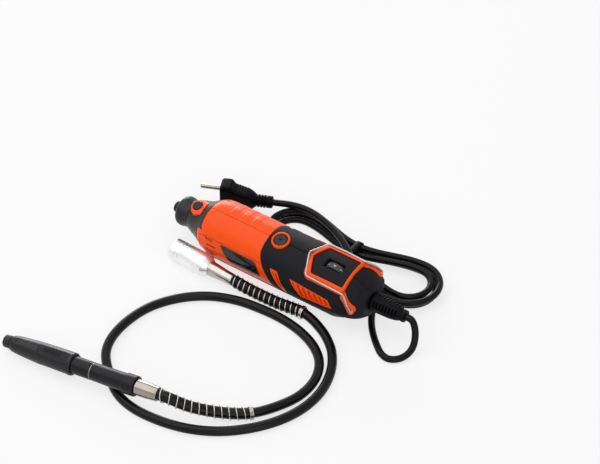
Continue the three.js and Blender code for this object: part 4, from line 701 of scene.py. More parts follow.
# ---------------------------------------------------------------------------- studio
@dataclass
class Studio:
    """Camera, floor and soft light."""

    azimuth: float = 35.904        # degrees from straight in front, towards the tail
    elevation: float = 41.0
    target: tuple[float, float, float] = (94.148, 61.153, 0.0)   # mm, in the tool's frame
    distance: float = 2004.03
    lens: float = 132.0
    reach: float = 6.0             # half the floor's width, m
    sky: float = 0.62              # strength of the world's light
    glow: float = 0.72             # share of plain white in the floor that the camera sees

    def build_camera(self) -> None:
        """Aim the camera at the tool from its near side."""
        a, e = math.radians(self.azimuth), math.radians(self.elevation)
        back = Vector((math.sin(a) * math.cos(e), -math.cos(a) * math.cos(e), math.sin(e)))
        right = Vector((math.cos(a), math.sin(a), 0))
        data = bpy.data.cameras.new("camera")
        data.lens = self.lens
        data.sensor_width = 36
        data.clip_end = 20
        camera = bpy.data.objects.new("camera", data)
        basis = Matrix((right, back.cross(right), back)).transposed().to_4x4()
        place = (Vector(self.target) + row_shift() + back * self.distance) * MM
        camera.matrix_world = Matrix.Translation(place) @ basis
        bpy.context.scene.collection.objects.link(camera)
        bpy.context.scene.camera = camera

    def build_light(self) -> None:
        """Large soft lamps, and a pale world that the camera sees as white."""
        scene = bpy.context.scene
        scene.view_settings.view_transform = "Standard"
        for name, place, size, power in (("key", (-0.5, -0.35, 1.5), 2.2, 17.0),
                                         ("fill", (1.5, -1.2, 0.9), 1.4, 6.0),
                                         ("rim", (-1.4, 1.5, 0.45), 1.0, 17.0)):
            lamp = bpy.data.lights.new(name, "AREA")
            lamp.shape = "SQUARE"
            lamp.size = size
            lamp.energy = power
            made_lamp = bpy.data.objects.new(name, lamp)
            made_lamp.location = place
            made_lamp.rotation_euler = (-Vector(place)).to_track_quat("-Z", "Y").to_euler()
            scene.collection.objects.link(made_lamp)
        world = bpy.data.worlds.new("studio")
        world.use_nodes = True
        tree = world.node_tree
        tree.nodes.clear()
        path = tree.nodes.new("ShaderNodeLightPath")
        pale = tree.nodes.new("ShaderNodeBackground")
        pale.inputs["Strength"].default_value = self.sky
        white = tree.nodes.new("ShaderNodeBackground")
        seen = tree.nodes.new("ShaderNodeMath")
        seen.operation = "MAXIMUM"
        tree.links.new(path.outputs["Is Camera Ray"], seen.inputs[0])
        tree.links.new(path.outputs["Is Glossy Ray"], seen.inputs[1])
        mix = tree.nodes.new("ShaderNodeMixShader")
        out = tree.nodes.new("ShaderNodeOutputWorld")
        tree.links.new(seen.outputs[0], mix.inputs[0])
        tree.links.new(pale.outputs[0], mix.inputs[1])
        tree.links.new(white.outputs[0], mix.inputs[2])
        tree.links.new(mix.outputs[0], out.inputs["Surface"])
        scene.world = world

    def build_floor(self) -> None:
        """Wide white floor that keeps the object's soft shadow."""
        mesh = bpy.data.meshes.new("floor")
        corners = [(x * self.reach, y * self.reach, 0) for x, y in ((-1, -1), (1, -1), (1, 1), (-1, 1))]
        mesh.from_pydata(corners, [], [(0, 1, 2, 3)])
        floor = bpy.data.objects.new("floor", mesh)
        look = NodeSheet("floor_white")
        lit = look.node("BsdfDiffuse", Color=(0.9, 0.9, 0.9, 1), Roughness=0.5)
        glow = look.node("Emission", Color=(1, 1, 1, 1), Strength=1.0)
        path = look.node("LightPath")
        seen = look.node("Math", {"operation": "MAXIMUM"}, n0=path.outputs["Is Camera Ray"],
                         n1=path.outputs["Is Glossy Ray"])
        share = look.node("Math", {"operation": "MULTIPLY"}, n0=seen.outputs[0], n1=self.glow)
        mix = look.node("MixShader", n0=share.outputs[0], n1=lit.outputs[0], n2=glow.outputs[0])
        look.tree.links.new(mix.outputs[0], look.output.inputs["Surface"])
        mesh.materials.append(look.material)
        bpy.context.scene.collection.objects.link(floor)


# ---------------------------------------------------------------------------- flexible shaft
@dataclass
class FlexibleShaft:
    """Coupling, sheathed hose with a spring guard at both ends, and the pencil handpiece."""

    hose_radius: float = 4.2
    straight: float = 9.0
    route: tuple[tuple[float, float, float], ...] = (
        (108, -36, 9.6), (136, -33.6, 7.2), (163.5, -30, 6.4), (173, -31, 5.2), (184.5, -35, 4.4),
        (197, -42, 4.4), (211, -54, 4.4), (223.5, -73, 4.4), (230.8, -97, 4.4), (230.4, -121, 4.4),
        (222.5, -145, 4.4), (207.5, -167.5, 4.4), (188, -185.5, 4.4), (164, -198, 4.4), (135, -204.5, 4.4),
        (111.5, -204.5, 4.4), (92, -198.5, 4.4), (69.5, -182, 4.4), (54.8, -167, 4.4), (47, -149, 4.4),
        (45.1, -123, 4.4), (50.2, -98.7, 4.4), (63.7, -76.3, 4.4), (82.6, -59.6, 4.4), (105.6, -49.6, 4.4),
        (130.2, -45.8, 4.4), (152.6, -45.4, 4.4), (175, -49.2, 4.4), (195.5, -58, 4.4), (210, -71, 4.4),
        (218.6, -89.5, 4.4), (219.4, -110.5, 4.4), (213, -132, 5.5), (200, -153.5, 6.5), (181, -169, 8.4),
        (159, -183.5, 14.4))
    guard_radius: float = 5.7
    guard_wire: float = 0.5
    sleeve_radius: float = 10.5
    sleeve_length: float = 42.0
    neck_radius: float = 5.3
    barrel_radius: float = 7.75
    pad_turn: float = 18.0         # degrees from the top to the first grip pad

    def centreline(self) -> Array:
        """Centre of the hose in the assembly's frame, from the coupling round to the handpiece."""
        ends = []
        for start, aim in ((COUPLING_MOUTH, COUPLING_AIM), (HANDPIECE_TIP, HANDPIECE_AIM)):
            ahead = aim + (aim - start).normalized() * self.straight
            ends.append((np.array(aim), np.array(ahead)))
        points = np.array([ends[0][0], ends[0][1], *self.route, ends[1][1], ends[1][0]])
        return even(catmull_rom(points), 1.5)

    def build_hose(self) -> None:
        """Smooth sheath of the shaft, a free cord that goes back into the object at its far end."""
        path = self.centreline()
        inside = even(at_lengths(path, np.linspace(5.6, arc_lengths(path)[-1] - 0.3, 600)), 1.6)
        hose = made("flex_hose", swept(inside, self.hose_radius, 28), SHIFT, HOSE_BLACK, "flexible_shaft",
                    "cord_rubber", "hose")

    def spring(self, path: Array, root: float, length: float, open_turns: int, close_turns: int) -> Solid:
        """Spring round the hose: a helix with open turns, then close ones at its free end.

        The wire's centre is the hose's centre plus guard_radius at an angle that grows with the turns,
        between the level side and the upward direction of the hose.

        Args:
            path: hose centreline from this spring's end of the hose.
            root: where it starts along the hose.
            length: where it ends.
            open_turns: turns before the close ones.
            close_turns: turns that lie next to each other.

        Returns:
            The wire.
        """
        span = length - root
        close = close_turns * (2 * self.guard_wire + 0.06) / span
        turn = np.linspace(0, open_turns + close_turns, (open_turns + close_turns) * 30 + 1)
        share = (np.minimum(turn / open_turns, 1) * (1 - close)
                 + np.maximum(turn - open_turns, 0) / close_turns * close)
        lead = 2 * self.guard_wire / span
        where = root + span * (lead + share * (1 - 2 * lead))
        centre = at_lengths(path, where)
        near = even(path[: int(len(path) * 0.2)], 1.0)
        along = arc_lengths(near)
        side, up = (np.stack([np.interp(where, along, axis[:, k]) for k in range(3)], -1)
                    for axis in upright_frames(near))
        angle = 2 * np.pi * turn[:, None]
        outward = side * np.cos(angle) + up * np.sin(angle)
        wire = centre + self.guard_radius * outward
        across = np.cross(unit(np.gradient(wire, axis=0)), outward)
        return tube(wire, outward, across, self.guard_wire, 10)

    def rippled_sheath(self, path: Array, root: float, length: float, open_turns: int, bulge: float) -> Solid:
        """Rubber sleeve under a spring, pressed in by each open turn and bulging between them.

        Its radius is 4.85 mm plus the bulge times the root of |sin(pi t)|, t the open turns along it.

        Args:
            path: hose centreline from the spring's end of the hose.
            root: where the spring starts along it.
            length: where the spring ends.
            open_turns: turns before the close ones.
            bulge: how far it stands out between two turns.

        Returns:
            The sleeve.
        """
        where = np.linspace(root + 0.2, length - 0.4, 460)
        turn = np.clip((where - root - 1.0) / (length - root - 5.0), 0, 1) * open_turns
        radius = 4.85 + bulge * np.sqrt(np.abs(np.sin(np.pi * turn)))
        return swept(at_lengths(path, where), radius, 32)

    def build_springs(self) -> None:
        """Both spring guards, each a bright wire over a rubber sleeve."""
        path = self.centreline()
        for name, line, root, length, turns, bulge, rubber in (
                ("spring_guard_drive", path, 5.6, 79.2, 13, 0.5, GUARD_BLACK),
                ("spring_guard_handpiece", path[::-1], 2.8, 84.4, 12, 0.06, HOSE_BLACK)):
            made(f"{name}_wire", self.spring(line, root, length, turns, 3), SHIFT, SPRING, "flexible_shaft",
                 "steel", name)
            made(f"{name}_sheath", self.rippled_sheath(line, root, length, turns, bulge), SHIFT, rubber,
                 "flexible_shaft", "cord_rubber")

    def build_coupling(self) -> None:
        """Bright grooved sleeve, its polished neck and the drive shank inside."""
        end, r, slim = self.sleeve_length, self.sleeve_radius, self.neck_radius
        groove = r - 0.5
        outer = [(0, r - 0.7), (0.7, r), (6.1, r), (6.3, groove), (7.4, groove), (7.6, r), (10.1, r),
                 (10.3, groove), (11.4, groove), (11.6, r), (end - 5, r), (end - 1.2, slim + 2.6),
                 (end, slim + 1.6)]
        inner = [(0, 8.3), (0.5, 8.0), (20, 8.0), (20, 3.7), (36, 3.7), (36, slim + 0.2), (end, slim + 0.2)]
        thread = [(2.0 + 1.25 * k + d, 8.0 + h) for k in range(9) for d, h in ((0, 0.0), (0.62, 0.42))]
        inner = inner[:2] + thread + inner[2:]
        made("coupling_sleeve_turned", lathe(tube_profile(outer, inner, 0.22, 2), 128), COUPLING, ALUMINIUM,
             "coupling_nut", "aluminium", "coupling_sleeve", crease=24)
        start, end = 36.3, end + 25.8
        neck = [(start, slim), (41.6, slim), (42.0, slim + 1.5), (43.4, slim + 1.5), (43.6, slim + 1.25),
                (44.5, slim + 1.25), (44.7, slim + 1.4), (end - 8, slim + 0.3), (end - 1, slim + 0.1),
                (end, slim - 0.6)]
        made("coupling_neck_polished", lathe(tube_profile(neck, [(start, 2), (end, 2)]), 96), COUPLING,
             POLISHED, "flexible_shaft", "steel", "coupling_neck", crease=24)
        shank = [(13, 0), (13, 1.35), (13.3, 1.6), (21, 1.6), (21, 3.0), (21.2, 3.2), (24.8, 3.2), (25, 3.0),
                 (25, 1.6), (59, 1.6), (59, 0)]
        made("drive_shank_ground", lathe(np.array(shank), 48), COUPLING, POLISHED, "drive_core", "steel",
             "drive_shank")

    def build_handpiece(self) -> None:
        """Nut, ribbed grip sleeve, two-part barrel with its bright joint, and the nickel ferrule."""
        angle = round_turn(96)
        nut = [(0, 1.6), (0, 4.9), (0.5, 5.5), (1.0, 5.7), (6.2, 5.7), (6.7, 5.3), (7.2, 4.4), (8, 4.4),
               (8, 1.6)]
        flutes = 1 - 0.03 * (0.5 + 0.5 * np.cos(8 * angle)) ** 6
        made("handpiece_nut_turned", lathe(fillet(nut, 0.3, 3, closed=True), 96, flutes), HANDPIECE,
             CAP_BLACK, "handpiece_rotor", "black_moulding", "handpiece_nut")
        self.build_grip()
        r = self.barrel_radius
        front = tube_profile([(58.3, r), (90.7, r)], [(58.3, 3.2), (90.7, 3.2)], 0.35)
        made("barrel_front_turned", lathe(front, 96), HANDPIECE, BARREL_BLACK, "flexible_shaft",
             "black_moulding", "barrel_front")
        ring = tube_profile([(90.7, r - 0.15), (91.3, r - 0.15)], [(90.7, 4.4), (91.3, 4.4)], 0.1)
        made("joint_ring_bright", lathe(ring, 96), HANDPIECE, NICKEL, "flexible_shaft", "nickel",
             "joint_ring")
        rear = [(91.3, r), (123.2, r + 0.3), (124, r + 1.2), (134.2, r + 1.2), (135, r + 0.6)]
        rear = tube_profile(rear, [(91.3, 4.4), (135, 4.4)], 0.5, 4)
        made("barrel_rear_turned", lathe(rear, 96), HANDPIECE, BARREL_BLACK, "flexible_shaft",
             "black_moulding", "barrel_rear")
        ferrule = [(135.3, 2), (135.3, 6.7), (135.7, 7), (145.6, 7), (148.0, 6.8), (155.0, 6.3), (156.2, 6.2),
                   (156.6, 5.8), (156.6, 2)]
        facets = 1 - 0.022 * (1 - np.abs(np.cos(4 * angle)))
        made("handpiece_ferrule_crimped", lathe(fillet(ferrule, 0.8, 4, closed=True), 96, facets), HANDPIECE,
             NICKEL, "flexible_shaft", "nickel", "handpiece_ferrule", crease=50)

    def build_grip(self) -> None:
        """Grip sleeve with three sunk pads, hatched between smooth ends, and three flats at the nose."""
        end = 72.0
        outer = [(7.5, 6.0), (8.1, 6.5), (12.5, 7.6), (22, 8.5), (40, 9.5), (64, 10), (70.2, 10), (71.4, 9.7),
                 (end, 9)]
        x = np.concatenate([np.linspace(7.5, 8.1, 4), np.linspace(8.5, 70, 120), np.linspace(70.3, end, 8)])
        skin = np.stack([x, read(outer, x)], axis=-1)
        bore = [(end, 8.05), (58, 8.05), (58, 5.5), (15.5, 5.5), (10.5, 3.2), (7.5, 4.9)]
        base = lathe(np.concatenate([skin, bore]), 120)
        turns = [Matrix.Rotation(math.radians(angle + self.pad_turn), 4, "X") for angle in (0, 120, 240)]
        recess = fillet([(37.2, -3.9), (68.6, -3.9), (68.6, 3.9), (37.2, 3.9)], 1.6, 4, closed=True)
        flat = moved(block((-4.5, 4.5), (-4.2, 4.2), (-1.5, 1.5)),
                     Matrix.Translation((18, 0, 9.35)) @ Matrix.Rotation(math.radians(-8), 4, "Y"))
        cuts = []
        for turn in turns:
            cuts.append(("DIFFERENCE", moved(prism(recess, 8.7, 12), turn)))
            cuts.append(("DIFFERENCE", moved(flat, turn)))
        dress(carved("grip_sleeve_moulded", base, *cuts), HANDPIECE, HANDPIECE_BLACK, "flexible_shaft",
              "black_moulding", "grip_sleeve")
        for number, turn in enumerate(turns, 1):
            self.build_pad(number, turn)

    def build_pad(self, number: int, turn: Matrix) -> None:
        """One pad: a low crowned plate with slanted ribs between two smooth ends.

        Its height is 9.45 mm less y^2 / 25, less 0.75 mm between rounded ribs along x + 0.55 y, 2.1 mm apart.

        Args:
            number: which pad.
            turn: where it sits round the sleeve.
        """
        x, y = np.meshgrid(np.linspace(37.5, 68.3, 160), np.linspace(-3.6, 3.6, 36), indexing="ij")
        middle = smoothstep(43.4, 44.2, x) * (1 - smoothstep(60.6, 61.4, x))
        middle = middle * (1 - smoothstep(2.9, 3.3, np.abs(y)))
        rib = 0.5 - 0.5 * np.cos(2 * np.pi * (x + 0.55 * y) / 2.1)
        high = 9.45 - y * y / 25 + 0.75 * middle * (rib ** 0.7 - 1.0)
        top = np.stack([x, y, high], axis=-1)
        under = np.stack([x, y, np.full_like(x, 8.0)], axis=-1)
        made(f"grip_pad_{number}", moved(sheet(top, under), turn), HANDPIECE, PAD_BLACK, "flexible_shaft",
             "black_moulding", "grip_sleeve")


# ---------------------------------------------------------------------------- power cord
@dataclass
class PowerCord:
    """Mains lead from the gland through a tied hank to its two-pin plug."""

    radius: float = 3.1
    free_route: tuple[tuple[float, float, float], ...] = (
        (261, -2.2, 21.5), (264, -5.8, 13.5), (265.2, -11, 7), (264.6, -18, 4.2), (261, -26.5, 3.4),
        (254, -31.5, 3.4), (246, -30, 3.4), (237.5, -24, 3.4), (229, -16.5, 3.4), (221, -8, 3.4),
        (214, 1.5, 3.4), (208.5, 11, 3.4), (202, 20, 3.4), (193, 27.2, 3.6))
    lead_route: tuple[tuple[float, float, float], ...] = (
        (204, 24.4, 10.9), (192, 28, 12.6), (180, 33, 15.4), (168, 39.5, 18.4), (156, 47.5, 20.2),
        (144, 55.5, 20.2), (132, 62, 19.6), (120, 67.2, 19), (108, 71, 18.4), (96, 73, 18),
        (84, 72.4, 17.7), (74, 69.4, 17.6))
    relief_end: tuple[float, float, float] = (61.8, 63.6, 17.6)
    plug_yaw: float = 25.0
    plug_length: float = 48.0
    run_half: float = 62.0
    fold: float = 18.6
    hank_centre: tuple[float, float] = (156, 54)

    def hank(self) -> Array:
        """Hank of loops: runs between half-circle folds, drawn in at the waist where the tie holds them."""
        t = np.linspace(0.1, 3.0, 418)
        inward, outward = np.maximum(0, 1.5 - t), np.maximum(0, t - 1.75)
        half = self.fold + 8 * (inward + outward) + 5 * np.maximum(0, 1 - 4 * t)
        quarter = 4 * (t - np.floor(t))
        part = np.minimum(np.floor(quarter), 3)
        s = quarter - part
        side = np.where(part < 2, -1.0, 1.0)
        run = part % 2 == 0
        x = side * np.where(run, self.run_half * (2 * s - 1), self.run_half + half * np.sin(np.pi * s))
        waist = 7 * (1 + np.cos(np.pi * x / self.run_half))
        y = side * np.where(run, half - waist, half * np.cos(np.pi * s))
        hump = 0.5 * (1 + np.cos(np.pi * np.minimum(np.abs(x), self.run_half) / self.run_half))
        z = self.radius + 0.3 + 1.1 * hump + 6.8 * smoothstep(1.5, 1.75, t)
        return np.stack([x + self.hank_centre[0], y + self.hank_centre[1], z], axis=-1)

    def path(self) -> Array:
        """Centre of the whole lead, from the gland to the plug's relief."""
        hank = self.hank()
        first = (hank[0] - hank[2]) / np.linalg.norm(hank[0] - hank[2])
        last = (hank[-1] - hank[-3]) / np.linalg.norm(hank[-1] - hank[-3])
        before, after = hank[0] + first * 6.2, hank[-1] + last * 6.2
        local = np.array(STANDING)
        gland = local[:3, :3] @ np.array([250.3, 0, 0]) + local[:3, 3]
        yaw = math.radians(self.plug_yaw)
        heading = np.array([math.cos(yaw), math.sin(yaw), 0])
        relief = np.array(self.relief_end)
        free = catmull_rom(np.array([gland + (6.5, 0, 0), *self.free_route, before + first * 6.5]))
        lead = catmull_rom(np.array([after + last * 6.5, *self.lead_route, relief + heading * 6.5]))
        line = even(np.concatenate([[gland + (0.3, 0, 0)], free, [before], hank, [after], lead,
                                    [relief + heading * 0.3]]), 1.2)
        window = np.ones(5) / 5
        soft = np.stack([np.convolve(line[:, k], window, "same") for k in range(3)], axis=-1)
        soft[:3], soft[-3:] = line[:3], line[-3:]
        return even(soft, 2.2)

    def build(self) -> None:
        """The lead with its plug, pins and tie."""
        path = self.path()
        cord = made("power_cord", swept(path, self.radius, 18), SHIFT, CORD_BLACK, "tool_body", "cord_rubber",
                    "cord_free", "cord_hank", "cord_lead")
        yaw = math.radians(self.plug_yaw)
        heading = Vector((math.cos(yaw), math.sin(yaw), 0))
        place = (SHIFT @ Matrix.Translation(Vector(self.relief_end) - heading * self.plug_length)
                 @ Matrix.Rotation(yaw, 4, "Z") @ Matrix.Rotation(math.pi / 2, 4, "X"))
        pieces = [self.build_plug(place), self.build_tie(path)]
        for name, y in (("lower", -9.3), ("upper", 9.3)):
            pin = lathe(fillet([(-19.3, 0), (-19.3, 1.3), (-18.2, 2.0), (-0.3, 2.0), (-0.3, 0)], 0.5, 4), 32)
            pieces.append(made(f"plug_prong_{name}", pin, place @ Matrix.Translation((0, y, 0)), NICKEL,
                               "tool_body", "nickel", f"plug_pin_{name}"))

    def build_plug(self, place: Matrix) -> bpy.types.Object:
        """Contour plug: a superellipse of changing width, height and squareness, then a ribbed relief.

        Args:
            place: its place in the row frame.

        Returns:
            The plug.
        """
        wide = [(0, 15.2), (0.8, 16.0), (2.2, 16.5), (9.2, 16.7), (10.4, 15.9), (12.6, 12.9), (13.6, 12.3),
                (15, 12.2), (20, 10.9), (25, 9.4), (30, 7.8), (32, 6.4)]
        high = [(0, 7.2), (0.8, 7.9), (2.0, 8.2), (7.8, 8.2), (10.2, 7.8), (24, 7.5), (30, 6.8), (32, 6.0)]
        x = np.concatenate([np.linspace(0, 3, 14), np.linspace(3.4, 12, 34), np.linspace(12.5, 32, 48)])
        angle = round_turn(96)
        power = read([(0, 0.24), (8, 0.24), (12, 0.3), (24, 0.38), (32, 0.95)], x)[:, None]
        c, s = np.cos(angle)[None], np.sin(angle)[None]
        y = read(wide, x)[:, None] * np.sign(c) * np.abs(c) ** power
        z = read(high, x)[:, None] * np.sign(s) * np.abs(s) ** power
        grip = smoothstep(13, 15, x) * (1 - smoothstep(23, 25, x))
        y = y * (1 - 0.035 * (grip * (0.5 - 0.5 * np.cos(2 * np.pi * x / 2.4)))[:, None])
        body = lofted(np.stack([np.broadcast_to(x[:, None], y.shape), y, z], axis=-1))
        ribs = [(30, 0), (30, 6.1)]
        for start in (31.4, 34.2, 37.0, 39.8):
            ribs += [(start, 6.0), (start + 1.7, 5.9), (start + 1.8, 4.5), (start + 2.7, 4.5)]
        ribs += [(42.6, 5.8), (47.4, 5.6), (48, 5.0), (48, 0)]
        relief = lathe(fillet(ribs, 0.35, 3), 64)
        return dress(carved("plug_moulded", body, ("UNION", relief)), place, PLUG_BLACK, "tool_body",
                     "cord_rubber", "plug", crease=40)

    def build_tie(self, path: Array) -> bpy.types.Object:
        """Strap round the waist of the hank, a flat band bent round the strands.

        Args:
            path: centre of the lead.

        Returns:
            The strap.
        """
        cx = self.hank_centre[0]
        strand = path[(np.abs(path[:, 0] - cx) < 4.6) & (path[:, 1] > 20) & (path[:, 2] < 14)]
        reach = self.radius + 0.7
        y0, y1 = strand[:, 1].min() - reach, strand[:, 1].max() + reach
        z0, z1 = 0.55, strand[:, 2].max() + reach
        ring = fillet([(y0, z0), (y1, z0), (y1, z1), (y0, z1)], 4.0, 8, closed=True, edge_steps=3)
        middle = ring.mean(axis=0)
        outward = (ring - middle) / np.linalg.norm(ring - middle, axis=1, keepdims=True)
        rows = []
        for x, lift in ((-3, -0.1), (-2.7, 0.3), (0, 0.4), (2.7, 0.3), (3, -0.1), (2.7, -0.4), (-2.7, -0.4)):
            y, z = (ring + outward * lift).T
            rows.append(np.stack([np.full(len(ring), cx + x), y, np.maximum(z, 0.1)], axis=-1))
        return made("cord_strap", lofted(np.stack(rows), loop=True), SHIFT, RELIEF_BLACK, "tool_body",
                    "cord_rubber", "cord_tie", crease=60)


# ---------------------------------------------------------------------------- housing
BODY_RADIUS = 27.2
NOSE = [(40, 21.4), (44.5, 24), (52, 26.6), (60, BODY_RADIUS)]
PORT_X = 123.0                          # where the brush ports stand
PANEL_RISE, FRAME_RISE = 1.3, 2.2       # height of the panel and of its frame over the body


@dataclass
class Body:
    """Outer form of the handle, and what is shared by the pieces that follow it."""

    top: tuple = (*NOSE, (186, BODY_RADIUS), (196, 26.9), (203, 25.2), (209, 21.6), (213, 17), (217, 14))
    side: tuple = (*NOSE, (196, BODY_RADIUS), (203, 26.6), (209, 25.2), (213, 22.8), (217, 14.6))
    bottom: tuple = (*NOSE, (186, 26.9), (196, 22.6), (203, 17.2), (209, 14.4), (217, 13.8))

    def radius(self, x: Array, angle: Array) -> Array:
        """Radius at x and at an angle from the top seam towards the near side.

        Between the side and the top it follows cos^1.5, between the side and the bottom (-cos)^0.8.
        """
        c = np.cos(angle)
        side = read(self.side, x)
        upper = (read(self.top, x) - side) * np.clip(c, 0, 1) ** 1.5
        lower = (read(self.bottom, x) - side) * np.clip(-c, 0, 1) ** 0.8
        return side + upper + lower

    def point(self, x: Array, angle: Array, offset: Array | float = 0.0) -> Array:
        """Point on the form pushed out by an offset and held above the two resting flats."""
        x, angle, offset = np.broadcast_arrays(x, angle, offset)
        r = self.radius(x, angle) + offset
        for flat in (np.pi - ROLL, np.pi + ROLL):
            lean = np.cos(np.mod(angle, 2 * np.pi) - flat)
            limit = (REST_DISTANCE + np.minimum(offset, 0)) / np.maximum(lean, 0.5)
            r = np.where(lean > 0.5, np.minimum(r, limit), r)
        return around_x(x, r, angle)

    def above(self, x: Array, y: Array, offset: Array | float) -> Array:
        """Point of the top side over (x, y), pushed out by an offset."""
        x, y, offset = np.broadcast_arrays(x, y, offset)
        angle = np.arcsin(np.clip(-y / (self.radius(x, 0 * x) + offset), -0.99, 0.99))
        r = self.radius(x, angle) + offset
        return np.stack([x, y, np.sqrt(np.maximum(r * r - y * y, 0))], axis=-1)

    def band(self, x0: float, x1: float, angles: tuple[float, float], outer: float, inner: float,
             step: float = 1.0) -> Solid:
        """Wall that follows the form between two stations, two angles and two offsets."""
        xs = np.linspace(x0, x1, int((x1 - x0) / step) + 2)[:, None]
        columns = int(abs(angles[1] - angles[0]) / 2 / step) + 2
        turn = np.radians(np.linspace(*angles, columns))[None]
        return sheet(self.point(xs, turn, outer), self.point(xs, turn, inner))


BODY = Body()


def from_top(angle: Array) -> Array:
    """Degrees between an angle and the top seam, whichever way round is shorter."""
    return np.degrees(np.abs(np.mod(angle + np.pi, 2 * np.pi) - np.pi))


def boundary(angle: Array) -> Array:
    """Where the overmould starts: level over the top, then sweeping back round each flank."""
    return 111.2 + 15.8 * smoothstep(30, 110, from_top(angle))


def front_edge(angle: Array) -> Array:
    """Front edge of the orange shell: behind the black brow on top, then a step forward past a tooth."""
    turn = from_top(angle)
    tooth = 2.4 * np.clip(1 - np.abs(turn - 47.2) / 4.5, 0, 1)
    return 44.9 - 5.1 * smoothstep(47.7, 51.7, turn) + tooth


def stacked(rows: Sequence[tuple[Array, float]]) -> tuple[Array, Array]:
    """Grid of the stations of rows round the handle, and a column of their offsets."""
    return np.concatenate([x for x, _ in rows]), np.array([offset for _, offset in rows])[:, None]


def half_angles(side: int) -> tuple[Array, Array]:
    """Columns of one half from the top seam to the bottom one, closer together at both.

    Returns:
        Angles towards this side, and the distance of each column from the nearer seam in mm.
    """
    near = np.array([0.15, 0.25, 0.4, 0.65, 1.0, 1.5]) / BODY_RADIUS
    inside = np.linspace(2.2 / BODY_RADIUS, np.pi - 2.2 / BODY_RADIUS, 124)
    angle = np.concatenate([near, inside, np.pi - near[::-1]])
    return side * angle, BODY_RADIUS * np.minimum(angle, np.pi - angle)


@dataclass
class Clamshell:
    """Orange shell in two halves, with its grip rings, sunk flanks, front louvres and nameplate."""

    wall: float = 2.8
    skin: float = 1.6
    ribs: tuple[tuple[float, float], ...] = ((65.0, 71.0), (77.2, 82.8), (88.6, 94.0))
    rib_height: float = 0.24
    flank_depth: float = 0.8
    nameplate: tuple = ((70.2, 13.7), (105.8, 13.1), (109.2, 11.4), (112.2, 5.0), (113.2, -0.6), (81.4, -1.4))

    def relief(self, x: Array, angle: Array) -> Array:
        """Offset of the shell: low grip ribs over the far shoulder and flanks sunk under a step line."""
        turn = np.degrees(np.abs(angle))
        depth = np.zeros(np.broadcast(x, angle).shape)
        fade = np.where(angle > 0, 1 - 0.8 * smoothstep(0, 9, turn) - 0.2 * smoothstep(38, 54, turn),
                        1 - smoothstep(86, 104, turn))
        for front, rear in self.ribs:
            depth = depth + self.rib_height * smoothstep(front - 0.2, front + 0.3, x) * (
                1 - smoothstep(rear - 0.5, rear + 0.3, x)) * fade
        line = 55.4 + 0.035 * np.maximum(x - 65, 0) + 0.5 * np.maximum(53.7 - x, 0)
        sunk = smoothstep(-0.5, 0.5, turn - line) * (1 - smoothstep(-0.5, 0.5, turn - 116))
        crease = 0.7 * np.exp(-((turn - line - 0.2) / 1.1) ** 2)
        return depth - (self.flank_depth * sunk + crease) * smoothstep(44, 46, x)

    def half(self, side: int) -> Solid:
        """One half of the shell: relief in front, dropped by the skin's thickness under the overmould."""
        angle, seam = (column[None] for column in half_angles(side))
        edge, rear, under = front_edge(angle), boundary(angle), -self.skin - 0.15
        rows = [(edge + step, -0.5 * (1 - min(step / 0.9, 1)) ** 2)
                for step in (0, 0.12, 0.3, 0.55, 0.9, 1.3, 1.8)]
        rows += [(blend(edge + 1.8, 50.5, share), 0.0) for share in np.linspace(0, 1, 14)[1:]]
        rows += [(np.full_like(edge, x), 0.0) for x in np.arange(51, 100, 0.3)]
        rows += [(blend(100, rear - 1.0, share), 0.0) for share in np.linspace(0, 1, 26)[1:]]
        rows += [(rear - step, drop)
                 for step, drop in ((0.55, 0.0), (0.3, -0.06), (0.15, -0.25), (0.14, under))]
        rows += [(blend(rear - 0.14, 213, share), under) for share in np.linspace(0, 1, 30)[1:]]
        x, offset = stacked(rows)
        offset = offset + self.relief(x, angle) * smoothstep(0.2, 0.8, rear - x)
        offset = offset - 0.3 * (1 - np.clip(seam / 0.65, 0, 1)) ** 2
        inner = np.where(x < rear, -self.wall, -self.skin - 2.5)
        return sheet(BODY.point(x, angle, offset), BODY.point(x, angle, inner))

    def build(self) -> None:
        """Both halves with their louvres and the window, the far half also with its screw wells and notch,
        and the nameplate.
        """
        for side, node in ((1, "housing_left"), (-1, "housing_right")):
            cuts = [("DIFFERENCE", self.louvres(side)),
                    ("DIFFERENCE", block((170.2, 190.6), (-4.6, 4.6), (10, 40)))]
            if side < 0:
                cuts += [("DIFFERENCE", screw_wells()), ("DIFFERENCE", self.notch())]
            dress(carved(f"{node}_shell", self.half(side), *cuts), TOOL, ORANGE, "tool_body", "clamshell",
                  node, crease=28)
        plate = carved("nameplate_plain", BODY.band(66, 116, (40, 110), -0.1, -0.75),
                       ("INTERSECT", prism(fillet(self.nameplate, 1.3, 5, closed=True), -40, 0, "y")))
        dress(plate, TOOL, PLATE_BLACK, "tool_body", "black_moulding", "nameplate")

    def louvres(self, side: int) -> Solid:
        """Slots for the fan's air in one flank, sunk but not right through."""
        slots = []
        for x0, x1, z, deep in ((53.2, 62.2, 11.6, 20.9), (54.9, 65.6, 6.6, 22.9), (54.0, 63.4, 0.6, 23.9),
                                (53.0, 61.0, -5.2, 23.4)):
            corners = [(x0, z), (x1, z), (x1 - 0.9, z + 2.0), (x0 - 0.7, z + 2.0)]
            low, high = sorted((-side * deep, -side * 40))
            slots.append(prism(fillet(corners, 0.7, 4, closed=True), low, high, "y"))
        return merged(*slots)

    def notch(self) -> Solid:
        """Small oblong recess high on the far shoulder."""
        outline = fillet([(50.4, -0.85), (54.6, -0.85), (54.6, 0.85), (50.4, 0.85)], 0.8, 4, closed=True)
        return moved(prism(outline, 24.6, 32), Matrix.Rotation(math.radians(-37.5), 4, "X"))


